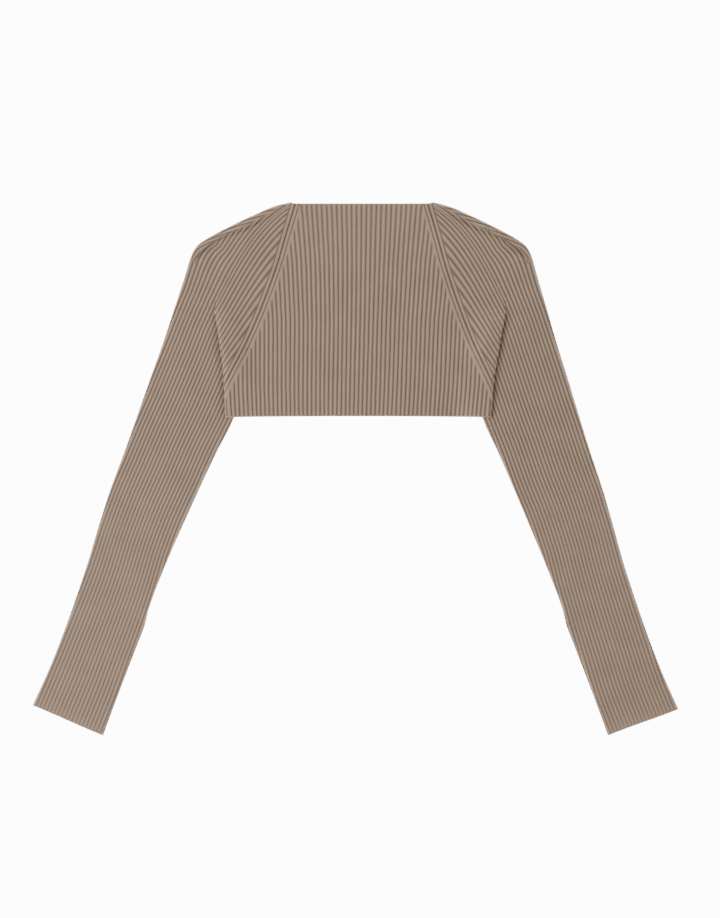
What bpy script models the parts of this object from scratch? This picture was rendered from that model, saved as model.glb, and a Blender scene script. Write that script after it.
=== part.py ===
"""A cropped rib-knit shrug, laid flat on its back with both raglan sleeves folded down.

Run with: blender --background --python part.py

Sizes are in millimetres and become metres where a mesh is made. A place on the garment is given as
half (distance from the centre line), depth (distance below the neck edge) and height above the floor.
"""
from collections import namedtuple
import math

import bpy
import numpy as np

MM = 0.001

# Where the garment lies: +Y points from the hem to the neck, the centre line leans a little, and
# the outside of one arm reaches a little lower than the other's.
NECK_Y = 358.8
CENTRE_X = 8.2
LEAN = -8.2
LEAN_DEPTH = 520.0
UNEVEN_REACH = 2.6
UNEVEN_START = 345.0
UNEVEN_WIDTH = 92.0

# The knit, and how its layers lie on each other.
WALL = 1.6
RIB_HEIGHT = 1.0
LAYER_GAP = 0.6
SEAM_GAP = 0.3
FRONT_INSIDE = WALL + LAYER_GAP
FRONT_VALLEY = FRONT_INSIDE + WALL
OVERLAP_HEIGHT = FRONT_VALLEY + RIB_HEIGHT + 0.4
EDGE_FINISH = 3.0
FINISH_HEIGHT = 0.5
EDGE_DROP = 0.9

Point = namedtuple("Point", "half depth")

# The seam between body and sleeve, from the neck corner to the underarm.
RAGLAN = [
    Point(89.2, 0.0), Point(101.7, 41.9), Point(112.5, 80.2), Point(133.6, 140.7),
    Point(147.1, 174.0), Point(157.4, 197.2), Point(170.0, 222.2), Point(182.2, 247.0),
]
# The fold at the side of the yoke and the body, from the sleeve's crotch to the hem.
SIDE_FOLD = [
    Point(196.0, 132.0), Point(196.0, 148.0), Point(192.0, 172.0), Point(188.5, 196.0),
    Point(185.0, 217.0), Point(182.2, 247.0), Point(179.0, 289.2),
]
# The fold over the shoulder and down the outside of the arm, from the neck corner to the cuff.
OUTER_FOLD = [
    Point(94.8, -1.0), Point(110.2, 2.1), Point(123.7, 6.0), Point(137.2, 11.7),
    Point(159.5, 21.8), Point(186.7, 35.3), Point(199.5, 42.0), Point(211.1, 48.8),
    Point(220.7, 55.5), Point(226.0, 62.3), Point(231.8, 75.8), Point(236.9, 93.5),
    Point(241.7, 109.5), Point(251.8, 142.0), Point(266.8, 190.5), Point(283.1, 239.0),
    Point(299.1, 288.0), Point(315.2, 336.5), Point(332.3, 385.0), Point(347.2, 433.5),
    Point(361.1, 482.0), Point(377.1, 531.0), Point(394.1, 579.5), Point(412.9, 628.0),
    Point(436.2, 680.2),
]
# The arm's hidden edge under the body, from the crotch to the start of the inner seam.
HIDDEN_EDGE = [
    Point(196.0, 132.0), Point(196.9, 148.0), Point(195.3, 160.0), Point(178.0, 207.0),
    Point(161.5, 252.0),
]
# The inner seam of the arm, with a kink above the cuff.
INNER_SEAM = [
    Point(161.5, 252.0), Point(162.0, 270.0), Point(168.0, 291.5), Point(189.7, 336.5),
    Point(218.6, 401.0), Point(246.8, 466.0), Point(266.7, 514.5), Point(278.5, 547.0),
    Point(284.6, 571.4), Point(285.6, 574.0), Point(300.4, 612.0), Point(319.0, 660.5),
    Point(340.4, 718.6),
]

# Ribs of a panel, counted from the centre line to the side.
RibPitch = namedtuple("RibPitch", "depth pitch")
RIB_PITCH = [
    RibPitch(0.0, 6.76), RibPitch(78.0, 6.20), RibPitch(159.0, 5.88), RibPitch(247.0, 5.785),
    RibPitch(289.2, 5.683),
]
RIBS_TO_SIDE = 31.5
NECK_HALF = RAGLAN[0].half
UNDERARM_DEPTH = RAGLAN[-1].depth
HEM_DEPTH = 287.7
HEM_SAG = 1.5
BACK_SHORTER = 2.0

# Ribs of a sleeve, counted from the outer fold. The crotch splits yoke and arm at one of them.
SLEEVE_RIBS = 22
CROTCH_RIB = 9.5
CORNER_RIB = 7.5
CROTCH_OUTER_DEPTH = 114.5
RibTurn = namedtuple("RibTurn", "rib start_angle end_angle")
RIB_TURNS = [
    RibTurn(9.5, 26.0, 64.0), RibTurn(12.0, 38.0, 61.0), RibTurn(15.0, 47.0, 59.0),
    RibTurn(18.0, 51.0, 57.0), RibTurn(22.0, 58.0, 62.0),
]
RAGLAN_START = 4.0
RAGLAN_LAST = 240.5
RAGLAN_POWER = 1.9
FOLD_LAST = 245.5

# Rows beside a raglan seam: one edge rib, a groove, and the place where the ribs are full.
SEAM_ROWS = (0.0, 2.7, 5.4, 9.0)
SEAM_ROW_SHARES = (0.0, 0.14, 0.28, 0.44)
SEAM_HEIGHTS = (0.0, RIB_HEIGHT, 0.0)
BODY_SEAM_ANGLE = 19.0

# Rows down the arm: where each meets the outer fold and the inner seam.
ArmRow = namedtuple("ArmRow", "outer_depth inner_depth")
ARM_ROWS = [
    ArmRow(218.0, 266.0), ArmRow(290.0, 338.0), ArmRow(374.0, 422.0), ArmRow(456.0, 500.0),
    ArmRow(540.0, 573.0), ArmRow(600.0, 637.0), ArmRow(675.2, 713.6), ArmRow(677.2, 715.6),
    ArmRow(680.2, 718.6),
]
UPPER_ARM_SHARES = (0.0, 0.04, 0.36, 0.68)

# Soft puffs between the creases of the shoulder, where the front layer stands off the back.
Puff = namedtuple("Puff", "half depth end_half end_depth width height")
SHOULDER_PUFFS = [
    Puff(148.0, 25.0, 214.0, 57.0, 7.0, 1.5), Puff(166.0, 52.0, 224.0, 86.0, 10.0, 1.3),
    Puff(150.0, 54.0, 196.0, 94.0, 12.0, 0.8),
]

# The body's way down from the arm under it to the floor.
OVERLAP_LEDGE = 4.0
OVERLAP_SLOPE = 34.0
OVERLAP_RISE = 27.0
EDGE_SLANT = 0.93

KNIT_COLOUR = (0.328, 0.254, 0.202, 1.0)
KNIT_ROUGHNESS = 0.92


def smooth(value):
    """Eases from 0 to 1."""
    value = min(max(value, 0.0), 1.0)
    return value * value * (3.0 - 2.0 * value)


def hermite(first, leave, last, arrive, t):
    """A point on the curve that leaves one point and arrives at the next with the given slopes."""
    return (first * (2 * t ** 3 - 3 * t ** 2 + 1) + leave * (t ** 3 - 2 * t ** 2 + t)
            + last * (3 * t ** 2 - 2 * t ** 3) + arrive * (t ** 3 - t ** 2))


class Path:
    """A smooth curve through a few points, read by the length run from the first."""

    SAMPLES = 600

    def __init__(self, points):
        self.points = np.array(points, float)
        steps = np.diff(self.points, axis=0)
        lengths = np.linalg.norm(steps, axis=1)
        self.runs = np.concatenate([[0.0], np.cumsum(lengths)])
        slopes = steps / lengths[:, None]
        self.slopes = np.vstack([slopes[:1], (slopes[:-1] + slopes[1:]) / 2.0, slopes[-1:]])
        self.length = self.runs[-1]
        self.sampled_runs = np.linspace(0.0, self.length, self.SAMPLES)
        self.sampled_depths = np.array([self.at(run)[1] for run in self.sampled_runs])

    def at(self, run):
        """The point at a length along the curve."""
        run = min(max(run, 0.0), self.length)
        index = min(int(np.searchsorted(self.runs, run, side="right")) - 1, len(self.runs) - 2)
        span = self.runs[index + 1] - self.runs[index]
        t = (run - self.runs[index]) / span
        leave, arrive = self.slopes[index] * span, self.slopes[index + 1] * span
        return hermite(self.points[index], leave, self.points[index + 1], arrive, t)

    def run_at_depth(self, depth):
        """The length at which the curve, which never climbs, reaches a depth."""
        return float(np.interp(depth, self.sampled_depths, self.sampled_runs))

    def half_at(self, depth):
        """The half width at a depth."""
        return self.at(self.run_at_depth(depth))[0]


RAGLAN_PATH = Path(RAGLAN)
SIDE_PATH = Path(SIDE_FOLD)
OUTER_PATH = Path(OUTER_FOLD)
HIDDEN_PATH = Path(HIDDEN_EDGE)
INNER_PATH = Path(INNER_SEAM)
ARM_EDGE = HIDDEN_EDGE + INNER_SEAM[1:3]


def base_height(half, depth):
    """How high the body and yoke lie: on the floor, or over the arm tucked under their sides."""
    edge = np.interp(depth, [point.depth for point in ARM_EDGE], [point.half for point in ARM_EDGE])
    inward = (edge - half) * EDGE_SLANT
    rise = smooth((depth - SIDE_FOLD[0].depth) / OVERLAP_RISE)
    return OVERLAP_HEIGHT * rise * (1.0 - smooth((inward - OVERLAP_LEDGE) / OVERLAP_SLOPE))


def shoulder_puff(half, depth):
    """How far the front layer stands off the back over the shoulder."""
    rise = 0.0
    for puff in SHOULDER_PUFFS:
        run = np.array([puff.end_half - puff.half, puff.end_depth - puff.depth])
        reach = np.array([half - puff.half, depth - puff.depth])
        along = float(reach @ run) / float(run @ run)
        beside = np.linalg.norm(reach - run * min(max(along, 0.0), 1.0))
        fade = smooth(along / 0.25) * smooth((1.0 - along) / 0.25)
        rise += puff.height * fade * smooth(1.0 - beside / puff.width)
    return rise


def place(side, half, depth, height):
    """A place on the garment in world metres. Side is -1 on the left and 1 on the right."""
    x = CENTRE_X + LEAN * smooth(depth / LEAN_DEPTH) + side * half
    reach = side * UNEVEN_REACH * smooth((half - UNEVEN_START) / UNEVEN_WIDTH)
    return (x * MM, (NECK_Y - depth - reach) * MM, height * MM)


def rib_relief(rib):
    """The rib's height over the valley: grooves on whole ribs, crests halfway between them."""
    return RIB_HEIGHT * abs(math.sin(math.pi * rib))


def make_wall(name, outer, inner, sheet_faces):
    """Closes two sheets of points with one layout into a wall, with a rim round every open edge."""
    keys = list(outer)
    number = {key: index for index, key in enumerate(keys)}
    count = len(keys)
    faces = []
    uses = {}
    for corners in sheet_faces:
        face = [number[key] for key in corners]
        faces.append(face)
        faces.append([index + count for index in reversed(face)])
        for start, end in zip(face, face[1:] + face[:1]):
            uses[(start, end)] = True
    for start, end in uses:
        if (end, start) not in uses:
            faces.append([end, start, start + count, end + count])
    mesh = bpy.data.meshes.new(name)
    mesh.from_pydata([outer[key] for key in keys] + [inner[key] for key in keys], [], faces)
    mesh.validate()
    mesh.update()
    wall = bpy.data.objects.new(name, mesh)
    wall.data.materials.append(knit_material(name))
    return wall


def knit_material(name):
    """A dull taupe knit."""
    material = bpy.data.materials.new(name + "_knit")
    material.use_nodes = True
    shader = material.node_tree.nodes["Principled BSDF"]
    shader.inputs["Base Color"].default_value = KNIT_COLOUR
    shader.inputs["Roughness"].default_value = KNIT_ROUGHNESS
    shader.inputs["Metallic"].default_value = 0.0
    return material


def grid_faces(rows, columns, key, flip=False):
    """The triangles of a grid whose points have the keys key(row, column).

    Two layers that lie on each other are cut along the same diagonals, so they stay parallel:
    a layer whose columns run back towards the outer fold takes the other diagonal.
    """
    faces = []
    for row, below in zip(rows, rows[1:]):
        for column, beside in zip(columns, columns[1:]):
            first, second = key(row, column), key(below, column)
            third, fourth = key(below, beside), key(row, beside)
            if isinstance(column, tuple) and column[0] == "front":
                triangles = [[first, second, fourth], [second, third, fourth]]
            else:
                triangles = [[first, second, third], [first, third, fourth]]
            faces += [triangle[::-1] if flip else triangle for triangle in triangles]
    return faces


# ---------------------------------------------------------------- the body's two panels

PANEL_SHARES = (0.33, 0.66)
PANEL_ROW_COUNT = len(SEAM_ROWS) + len(PANEL_SHARES) + 3
RIB_FADE = 1.5


def rib_pitch(depth):
    """The distance between a panel's ribs at a depth."""
    return np.interp(depth, [row.depth for row in RIB_PITCH], [row.pitch for row in RIB_PITCH])


def panel_start(rib):
    """The depth at which a panel's rib starts, on the neck edge or on the raglan seam."""
    if abs(rib) * rib_pitch(0.0) <= NECK_HALF:
        return 0.0
    low, high = 0.0, UNDERARM_DEPTH
    for _ in range(40):
        middle = (low + high) / 2.0
        if abs(rib) * rib_pitch(middle) > RAGLAN_PATH.half_at(middle):
            low = middle
        else:
            high = middle
    return low


def seam_runs(length, slant):
    """How far the rows beside a seam lie along a rib that leaves it at a slant."""
    stretch = 1.0 / math.sin(math.radians(slant))
    return [min(row * stretch, length * share) for row, share in zip(SEAM_ROWS, SEAM_ROW_SHARES)]


def hem_depth(rib):
    """The depth of the hem, which sags a little towards the sides."""
    return HEM_DEPTH + HEM_SAG * (rib / RIBS_TO_SIDE) ** 2


def panel_rows(rib):
    """The depths of the rows down a panel's rib."""
    start = panel_start(rib)
    length = hem_depth(rib) - start
    slant = 90.0 if start == 0.0 else BODY_SEAM_ANGLE
    runs = seam_runs(length, slant)
    ribs_end = length - EDGE_FINISH - RIB_FADE
    for share in PANEL_SHARES:
        runs.append(runs[len(SEAM_ROWS) - 1] + (ribs_end - runs[len(SEAM_ROWS) - 1]) * share)
    runs += [ribs_end, length - EDGE_FINISH, length]
    return [start + run for run in runs]


def panel_half(rib, depth):
    """How far a panel's rib lies from the centre line, with the seam gap taken off at the seam."""
    half = abs(rib) * rib_pitch(depth)
    if depth <= UNDERARM_DEPTH:
        half = min(half, RAGLAN_PATH.half_at(depth) - SEAM_GAP * 0.7)
    return half


def panel_relief(rib, row, start):
    """The front panel's height over its valleys."""
    last = PANEL_ROW_COUNT - 1
    if row >= last - 1:
        return FINISH_HEIGHT
    if row <= 2:
        if start == 0.0:
            return FINISH_HEIGHT if row < 2 else rib_relief(rib)
        return SEAM_HEIGHTS[row]
    return rib_relief(rib)


def front_panel():
    """The ribbed front."""
    ribs = [rib / 2.0 for rib in range(-int(2 * RIBS_TO_SIDE), int(2 * RIBS_TO_SIDE) + 1)]
    outer, inner = {}, {}
    for rib in ribs:
        side = -1 if rib < 0 else 1
        start = panel_start(rib)
        for row, depth in enumerate(panel_rows(rib)):
            half = panel_half(rib, depth)
            base = base_height(half, depth)
            top = FRONT_VALLEY + panel_relief(rib, row, start)
            if abs(rib) == RIBS_TO_SIDE:
                top = FRONT_VALLEY - EDGE_DROP
            outer[row, rib] = place(side, half, depth, base + top)
            inner[row, rib] = place(side, half, depth, base + FRONT_INSIDE)
    faces = grid_faces(range(PANEL_ROW_COUNT), ribs, lambda row, rib: (row, rib))
    return make_wall("front_panel", outer, inner, faces)


BACK_MIDDLE_RIBS = (6.0, 13.0, 17.5, 20.0)


def back_panel():
    """The plain back, flat on the floor and raised at its sides where the arms lie under it."""
    rising = [22.0 + step for step in range(10)] + [RIBS_TO_SIDE]
    right = [0.0] + list(BACK_MIDDLE_RIBS) + rising
    ribs = [-rib for rib in reversed(right[1:])] + right
    outer, inner = {}, {}
    for rib in ribs:
        side = -1 if rib < 0 else 1
        for row, depth in enumerate(panel_rows(rib)):
            half = panel_half(rib, depth)
            depth = min(max(depth, BACK_SHORTER), hem_depth(rib) - BACK_SHORTER)
            if row == 1 and panel_start(rib) == 0.0:
                depth += BACK_SHORTER / 2.0
            if row == PANEL_ROW_COUNT - 2:
                depth -= BACK_SHORTER / 2.0
            base = base_height(half, depth)
            outer[row, rib] = place(side, half, depth, base + WALL)
            inner[row, rib] = place(side, half, depth, base)
    faces = grid_faces(range(PANEL_ROW_COUNT), ribs, lambda row, rib: (row, rib))
    return make_wall("back_panel", outer, inner, faces)


# ---------------------------------------------------------------- the sleeves

FOLD_RADIUS = FRONT_VALLEY / 2.0
FOLD_INSIDE = LAYER_GAP / 2.0
FOLD_ANGLES = (45.0, 0.0, -45.0)
CROTCH_OUTER_RUN = OUTER_PATH.run_at_depth(CROTCH_OUTER_DEPTH)
YOKE_SHARES = (0.2, 0.4, 0.6, 0.8)
YOKE_ROWS = len(SEAM_ROWS) + len(YOKE_SHARES) + 2
ARM_ROW_COUNT = len(UPPER_ARM_SHARES) + len(ARM_ROWS)
CREST_SPACING = (1.5, 4.0)
ARM_BACK_RIBS = (10.0, 11.0, 12.0, 14.0, 18.0)


def fold_top(path, run):
    """The point of the front layer where it starts to bend round the outer fold."""
    point = path.at(run)
    ahead = path.at(min(run + 1.0, path.length)) - path.at(max(run - 1.0, 0.0))
    ahead /= np.linalg.norm(ahead)
    inward = np.array([-ahead[1], ahead[0]])
    return point + inward * FOLD_RADIUS


def yoke_start(rib):
    """Where a sleeve's rib starts: on the neck edge, or on the raglan seam."""
    if rib <= CORNER_RIB:
        corner = fold_top(OUTER_PATH, 0.0)
        seam = np.array([NECK_HALF + SEAM_GAP, 0.0])
        return corner + (seam - corner) * rib / CORNER_RIB
    if rib <= CROTCH_RIB:
        depth = RAGLAN_START * (rib - CORNER_RIB) / (CROTCH_RIB - CORNER_RIB)
    else:
        share = (rib - CROTCH_RIB) / (SLEEVE_RIBS - CROTCH_RIB)
        depth = RAGLAN_START + (RAGLAN_LAST - RAGLAN_START) * share ** RAGLAN_POWER
    return np.array([RAGLAN_PATH.half_at(depth) + SEAM_GAP * 0.7, depth])


def yoke_end(rib):
    """Where a rib inside the crotch reaches the side fold."""
    share = (rib - CROTCH_RIB) / (SLEEVE_RIBS - CROTCH_RIB)
    depth = SIDE_FOLD[0].depth + (FOLD_LAST - SIDE_FOLD[0].depth) * share
    return np.array([SIDE_PATH.half_at(depth), depth])


def rib_curve(rib, t):
    """A rib of the yoke inside the crotch, as a curve that leaves and arrives at set angles."""
    first, last = yoke_start(rib), yoke_end(rib)
    chord = np.linalg.norm(last - first)
    ribs = [turn.rib for turn in RIB_TURNS]
    leave = math.radians(np.interp(rib, ribs, [turn.start_angle for turn in RIB_TURNS]))
    arrive = math.radians(np.interp(rib, ribs, [turn.end_angle for turn in RIB_TURNS]))
    start_slope = np.array([math.cos(leave), math.sin(leave)]) * chord
    end_slope = np.array([math.cos(arrive), math.sin(arrive)]) * chord
    return hermite(first, start_slope, last, end_slope, t)


def yoke_point(rib, t):
    """A point of the yoke: t runs down a rib from the neck or seam to the crotch row or side fold."""
    if rib >= CROTCH_RIB:
        return rib_curve(rib, t)
    outer = fold_top(OUTER_PATH, CROTCH_OUTER_RUN * t)
    share = rib / CROTCH_RIB
    point = outer * (1.0 - share) + rib_curve(CROTCH_RIB, t) * share
    start = yoke_start(rib)
    straight = outer_start() * (1.0 - share) + rib_curve(CROTCH_RIB, 0.0) * share
    return point + (start - straight) * (1.0 - t) ** 4


def outer_start():
    """The front layer's own corner at the neck."""
    return fold_top(OUTER_PATH, 0.0)


def yoke_rows(rib):
    """The shares of a rib's length at the yoke's rows."""
    length = np.linalg.norm(yoke_point(rib, 1.0) - yoke_point(rib, 0.0)) * 1.03
    if rib >= CROTCH_RIB:
        ribs = [turn.rib for turn in RIB_TURNS]
        leave = np.interp(rib, ribs, [turn.start_angle for turn in RIB_TURNS])
        depth = yoke_start(rib)[1]
        ahead = RAGLAN_PATH.at(RAGLAN_PATH.run_at_depth(depth + 2.0)) - RAGLAN_PATH.at(
            RAGLAN_PATH.run_at_depth(depth - 2.0))
        seam_angle = math.degrees(math.atan2(ahead[1], ahead[0]))
        slant = max(seam_angle - leave, 12.0)
    else:
        slant = 45.0 + 45.0 * (1.0 - rib / CROTCH_RIB)
    runs = seam_runs(length, slant)
    edge = length - min(3.0, length * 0.2)
    runs += [runs[3] + (edge - runs[3]) * share for share in YOKE_SHARES]
    runs += [edge, length]
    return [run / length for run in runs]


def spacing(rib, t):
    """The distance between the ribs beside a place on the yoke."""
    before = yoke_point(max(rib - 0.5, 0.0), t)
    after = yoke_point(min(rib + 0.5, SLEEVE_RIBS), t)
    along = yoke_point(rib, min(t + 0.02, 1.0)) - yoke_point(rib, max(t - 0.02, 0.0))
    across = after - before
    return abs(across[0] * along[1] - across[1] * along[0]) / np.linalg.norm(along)


def yoke_relief(rib, row, t):
    """The yoke's height over its valleys."""
    if rib > CORNER_RIB and row < len(SEAM_HEIGHTS):
        return SEAM_HEIGHTS[row]
    if row < 2:
        return FINISH_HEIGHT
    low, high = CREST_SPACING
    return rib_relief(rib) * smooth((spacing(rib, t) - low) / (high - low))


def arm_edge_point(rib):
    """Where a rib of the arm starts: on the crotch row, or on the hidden edge."""
    if rib <= CROTCH_RIB:
        return yoke_point(rib, 1.0)
    share = (rib - CROTCH_RIB) / (SLEEVE_RIBS - CROTCH_RIB)
    return HIDDEN_PATH.at(HIDDEN_PATH.length * share)


def arm_row_point(row, rib):
    """A point on one of the straight rows across the arm."""
    outer = fold_top(OUTER_PATH, OUTER_PATH.run_at_depth(row.outer_depth))
    inner = INNER_PATH.at(INNER_PATH.run_at_depth(row.inner_depth))
    return outer + (inner - outer) * rib / SLEEVE_RIBS


def arm_point(row, rib):
    """A point of the arm, on its row counted from the crotch row."""
    upper = len(UPPER_ARM_SHARES)
    if row >= upper:
        return arm_row_point(ARM_ROWS[row - upper], rib)
    share = UPPER_ARM_SHARES[row]
    first, last = arm_edge_point(rib), arm_row_point(ARM_ROWS[0], rib)
    point = first + (last - first) * share
    if rib < CROTCH_RIB:
        low, high = CROTCH_OUTER_RUN, OUTER_PATH.run_at_depth(ARM_ROWS[0].outer_depth)
        fold = fold_top(OUTER_PATH, low + (high - low) * share)
        straight = fold_top(OUTER_PATH, low) * (1.0 - share) + fold_top(OUTER_PATH, high) * share
        point = point + (fold - straight) * (1.0 - rib / CROTCH_RIB)
    return point


def arm_relief(rib, row):
    """The arm's height over its valleys."""
    if row >= ARM_ROW_COUNT - 2:
        return FINISH_HEIGHT
    return rib_relief(rib)


def lobe_point(lobe, row, rib):
    """A point of the yoke or the arm, and the relief over it."""
    if lobe == "yoke":
        t = yoke_rows(rib)[row]
        return yoke_point(rib, t), yoke_relief(rib, row, t)
    return arm_point(row, rib), arm_relief(rib, row)


def edge_drop(lobe, row, rib):
    """How far the front layer dips at the folds and the inner seam, where it rounds off."""
    last_row = YOKE_ROWS - 1 if lobe == "yoke" else 0
    on_fold = rib > CROTCH_RIB and row == last_row
    if rib == SLEEVE_RIBS or on_fold:
        return EDGE_DROP * min((rib - CROTCH_RIB) / 1.5, 1.0)
    return 0.0


def sleeve(name, side):
    """One sleeve: front and back layers joined round the outer fold, parted along the other edges."""
    front_ribs = [rib / 2.0 for rib in range(2 * SLEEVE_RIBS, -1, -1)]
    back_outside = [0.0, CROTCH_RIB / 2.0, CROTCH_RIB]
    yoke_inside = [rib for rib in reversed(front_ribs) if rib > CROTCH_RIB]
    arm_inside = list(ARM_BACK_RIBS) + [SLEEVE_RIBS]
    folds = [("fold", angle) for angle in FOLD_ANGLES]
    outer, inner = {}, {}

    def key(lobe, row, column):
        """The crotch row's points belong to both lobes, as far in as the crotch."""
        if lobe == "yoke" and row == YOKE_ROWS - 1 and (column[0] == "fold" or column[1] <= CROTCH_RIB):
            return ("arm", 0, column)
        return (lobe, row, column)

    def add_point(lobe, row, column):
        layer, value = column
        rib = 0.0 if layer == "fold" else value
        point, relief = lobe_point(lobe, row, rib)
        base = base_height(*point) if lobe == "yoke" else 0.0
        drop = edge_drop(lobe, row, rib)
        if layer == "front":
            top = FRONT_VALLEY + relief if drop == 0.0 else FRONT_VALLEY - drop
            puff = shoulder_puff(*point) if lobe == "yoke" and rib > 0.0 else 0.0
            heights = (top + puff, FRONT_INSIDE + puff)
            spots = (point, point)
        elif layer == "back":
            heights = (drop / 2.0, WALL)
            spots = (point, point)
        else:
            spots, heights = fold_ring(lobe, row, point, value)
        name_key = key(lobe, row, column)
        outer[name_key] = place(side, *spots[0], base + heights[0])
        inner[name_key] = place(side, *spots[1], base + heights[1])

    faces = []
    for lobe, count, inside in (("yoke", YOKE_ROWS, yoke_inside), ("arm", ARM_ROW_COUNT, arm_inside)):
        columns = [("front", rib) for rib in front_ribs] + folds
        columns += [("back", rib) for rib in back_outside + inside]
        for row in range(count):
            for column in columns:
                add_point(lobe, row, column)
        faces += grid_faces(range(count), columns, lambda row, column: key(lobe, row, column),
                            flip=side < 0)
    return make_wall(name, outer, inner, faces)


def fold_ring(lobe, row, top, angle):
    """The outer and inner points of the bend round the outer fold, at an angle over its middle."""
    if lobe == "yoke":
        run = CROTCH_OUTER_RUN * yoke_rows(0.0)[row]
    else:
        run = arm_outer_run(row)
    outward = (OUTER_PATH.at(run) - top) / FOLD_RADIUS
    reach, rise = math.cos(math.radians(angle)), math.sin(math.radians(angle))
    spots = [top + outward * reach * radius for radius in (FOLD_RADIUS, FOLD_INSIDE)]
    heights = [FOLD_RADIUS + rise * radius for radius in (FOLD_RADIUS, FOLD_INSIDE)]
    return spots, heights


def arm_outer_run(row):
    """The length along the outer fold at a row of the arm."""
    upper = len(UPPER_ARM_SHARES)
    high = OUTER_PATH.run_at_depth(ARM_ROWS[0].outer_depth)
    if row < upper:
        return CROTCH_OUTER_RUN + (high - CROTCH_OUTER_RUN) * UPPER_ARM_SHARES[row]
    return OUTER_PATH.run_at_depth(ARM_ROWS[row - upper].outer_depth)


def main():
    """Clears the scene and builds the garment's four pieces in their own collection."""
    for item in list(bpy.data.objects):
        bpy.data.objects.remove(item, do_unlink=True)
    garment = bpy.data.collections.new("knitted_shrug")
    bpy.context.scene.collection.children.link(garment)
    pieces = [front_panel(), back_panel(), sleeve("left_sleeve", -1), sleeve("right_sleeve", 1)]
    for piece in pieces:
        garment.objects.link(piece)


main()
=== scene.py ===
"""A cropped rib-knit shrug laid flat on its back, its knit finish and the studio round it.

Sizes are in millimetres and become metres where a mesh is placed. A place on the garment is given
as half (distance from the centre line), depth (distance below the neck edge) and height above the
floor. Ribs are counted from the centre line on the panels and from the outer fold on the sleeves.
A groove lies on each whole rib and a crest halfway between two.
"""

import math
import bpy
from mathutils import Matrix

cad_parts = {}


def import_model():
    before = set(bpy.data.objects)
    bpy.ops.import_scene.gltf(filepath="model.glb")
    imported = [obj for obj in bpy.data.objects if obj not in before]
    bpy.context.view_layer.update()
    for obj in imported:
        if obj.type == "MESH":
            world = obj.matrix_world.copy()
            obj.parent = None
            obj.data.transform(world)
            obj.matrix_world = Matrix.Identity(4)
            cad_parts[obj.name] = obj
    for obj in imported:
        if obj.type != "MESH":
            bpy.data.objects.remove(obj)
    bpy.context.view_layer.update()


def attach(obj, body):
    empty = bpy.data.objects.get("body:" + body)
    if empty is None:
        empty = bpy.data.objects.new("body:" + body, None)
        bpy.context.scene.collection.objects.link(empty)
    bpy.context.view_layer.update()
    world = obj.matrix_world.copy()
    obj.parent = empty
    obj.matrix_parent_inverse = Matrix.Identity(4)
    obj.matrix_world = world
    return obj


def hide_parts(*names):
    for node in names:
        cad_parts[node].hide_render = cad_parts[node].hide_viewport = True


bl_info = {
    "name": "Rib-knit shrug",
    "version": (1, 0, 0),
    "blender": (4, 5, 0),
    "location": "3D View > Sidebar > Shrug",
    "description": "Builds a cropped raglan shrug in rib knit, laid flat on a pale floor",
    "category": "Object",
}

from collections import namedtuple

import bmesh
import bpy
import numpy as np

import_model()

MM = 0.001
WELD = 2e-6
BODY = "root"

# ---------------------------------------------------------------- the garment's sizes

# Where the garment lies: +Y points from the hem to the neck, the centre line leans a little, and
# the outside of one arm reaches a little lower than the other's.
NECK_Y = 358.8
CENTRE_X = 8.2
LEAN = -8.2
LEAN_DEPTH = 520.0
UNEVEN_REACH = 2.6
UNEVEN_START = 345.0
UNEVEN_WIDTH = 92.0

# The knit, and how its layers lie on each other.
WALL = 1.45
FRONT_VALLEY = 3.8
MID_HEIGHT = 1.9
ROUNDING = 2.8
OVERLAP_HEIGHT = 5.2
EDGE_FINISH = 0.9
FINISH_FADE = 1.5
FINISH_RELIEF = 0.5
STITCH_ROW = 2.7

Point = namedtuple("Point", "half depth")

# The seam between body and sleeve, from the neck corner to the underarm.
RAGLAN = [
    Point(89.2, 0.0), Point(101.7, 41.9), Point(112.5, 80.2), Point(133.6, 140.7),
    Point(147.1, 174.0), Point(157.4, 197.2), Point(170.0, 222.2), Point(182.2, 247.0),
]
# The fold at the side of the yoke and the body, from the sleeve's crotch to the hem.
SIDE_FOLD = [
    Point(196.0, 132.0), Point(196.0, 148.0), Point(192.0, 172.0), Point(188.5, 196.0),
    Point(185.0, 217.0), Point(182.2, 247.0), Point(179.0, 289.2),
]
# The fold over the shoulder and down the outside of the arm, from the neck corner to the cuff.
OUTER_FOLD = [
    Point(94.8, -1.0), Point(110.2, 2.1), Point(123.7, 6.0), Point(137.2, 11.7),
    Point(159.5, 21.8), Point(186.7, 35.3), Point(199.5, 42.0), Point(211.1, 48.8),
    Point(220.7, 55.5), Point(226.0, 62.3), Point(231.8, 75.8), Point(236.9, 93.5),
    Point(241.7, 109.5), Point(251.8, 142.0), Point(266.8, 190.5), Point(283.1, 239.0),
    Point(299.1, 288.0), Point(315.2, 336.5), Point(332.3, 385.0), Point(347.2, 433.5),
    Point(361.1, 482.0), Point(377.1, 531.0), Point(394.1, 579.5), Point(412.9, 628.0),
    Point(436.2, 680.2),
]
# The arm's hidden edge under the body, from the crotch to the start of the inner seam.
HIDDEN_EDGE = [
    Point(196.0, 132.0), Point(194.8, 141.0), Point(191.3, 152.0), Point(186.8, 163.0),
    Point(175.5, 205.0), Point(161.5, 252.0),
]
# The inner seam of the arm, with a kink above the cuff.
INNER_SEAM = [
    Point(161.5, 252.0), Point(162.0, 270.0), Point(168.0, 291.5), Point(189.7, 336.5),
    Point(218.6, 401.0), Point(246.8, 466.0), Point(266.7, 514.5), Point(278.5, 547.0),
    Point(284.6, 571.4), Point(285.6, 574.0), Point(300.4, 612.0), Point(319.0, 660.5),
    Point(340.4, 718.6),
]

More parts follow.
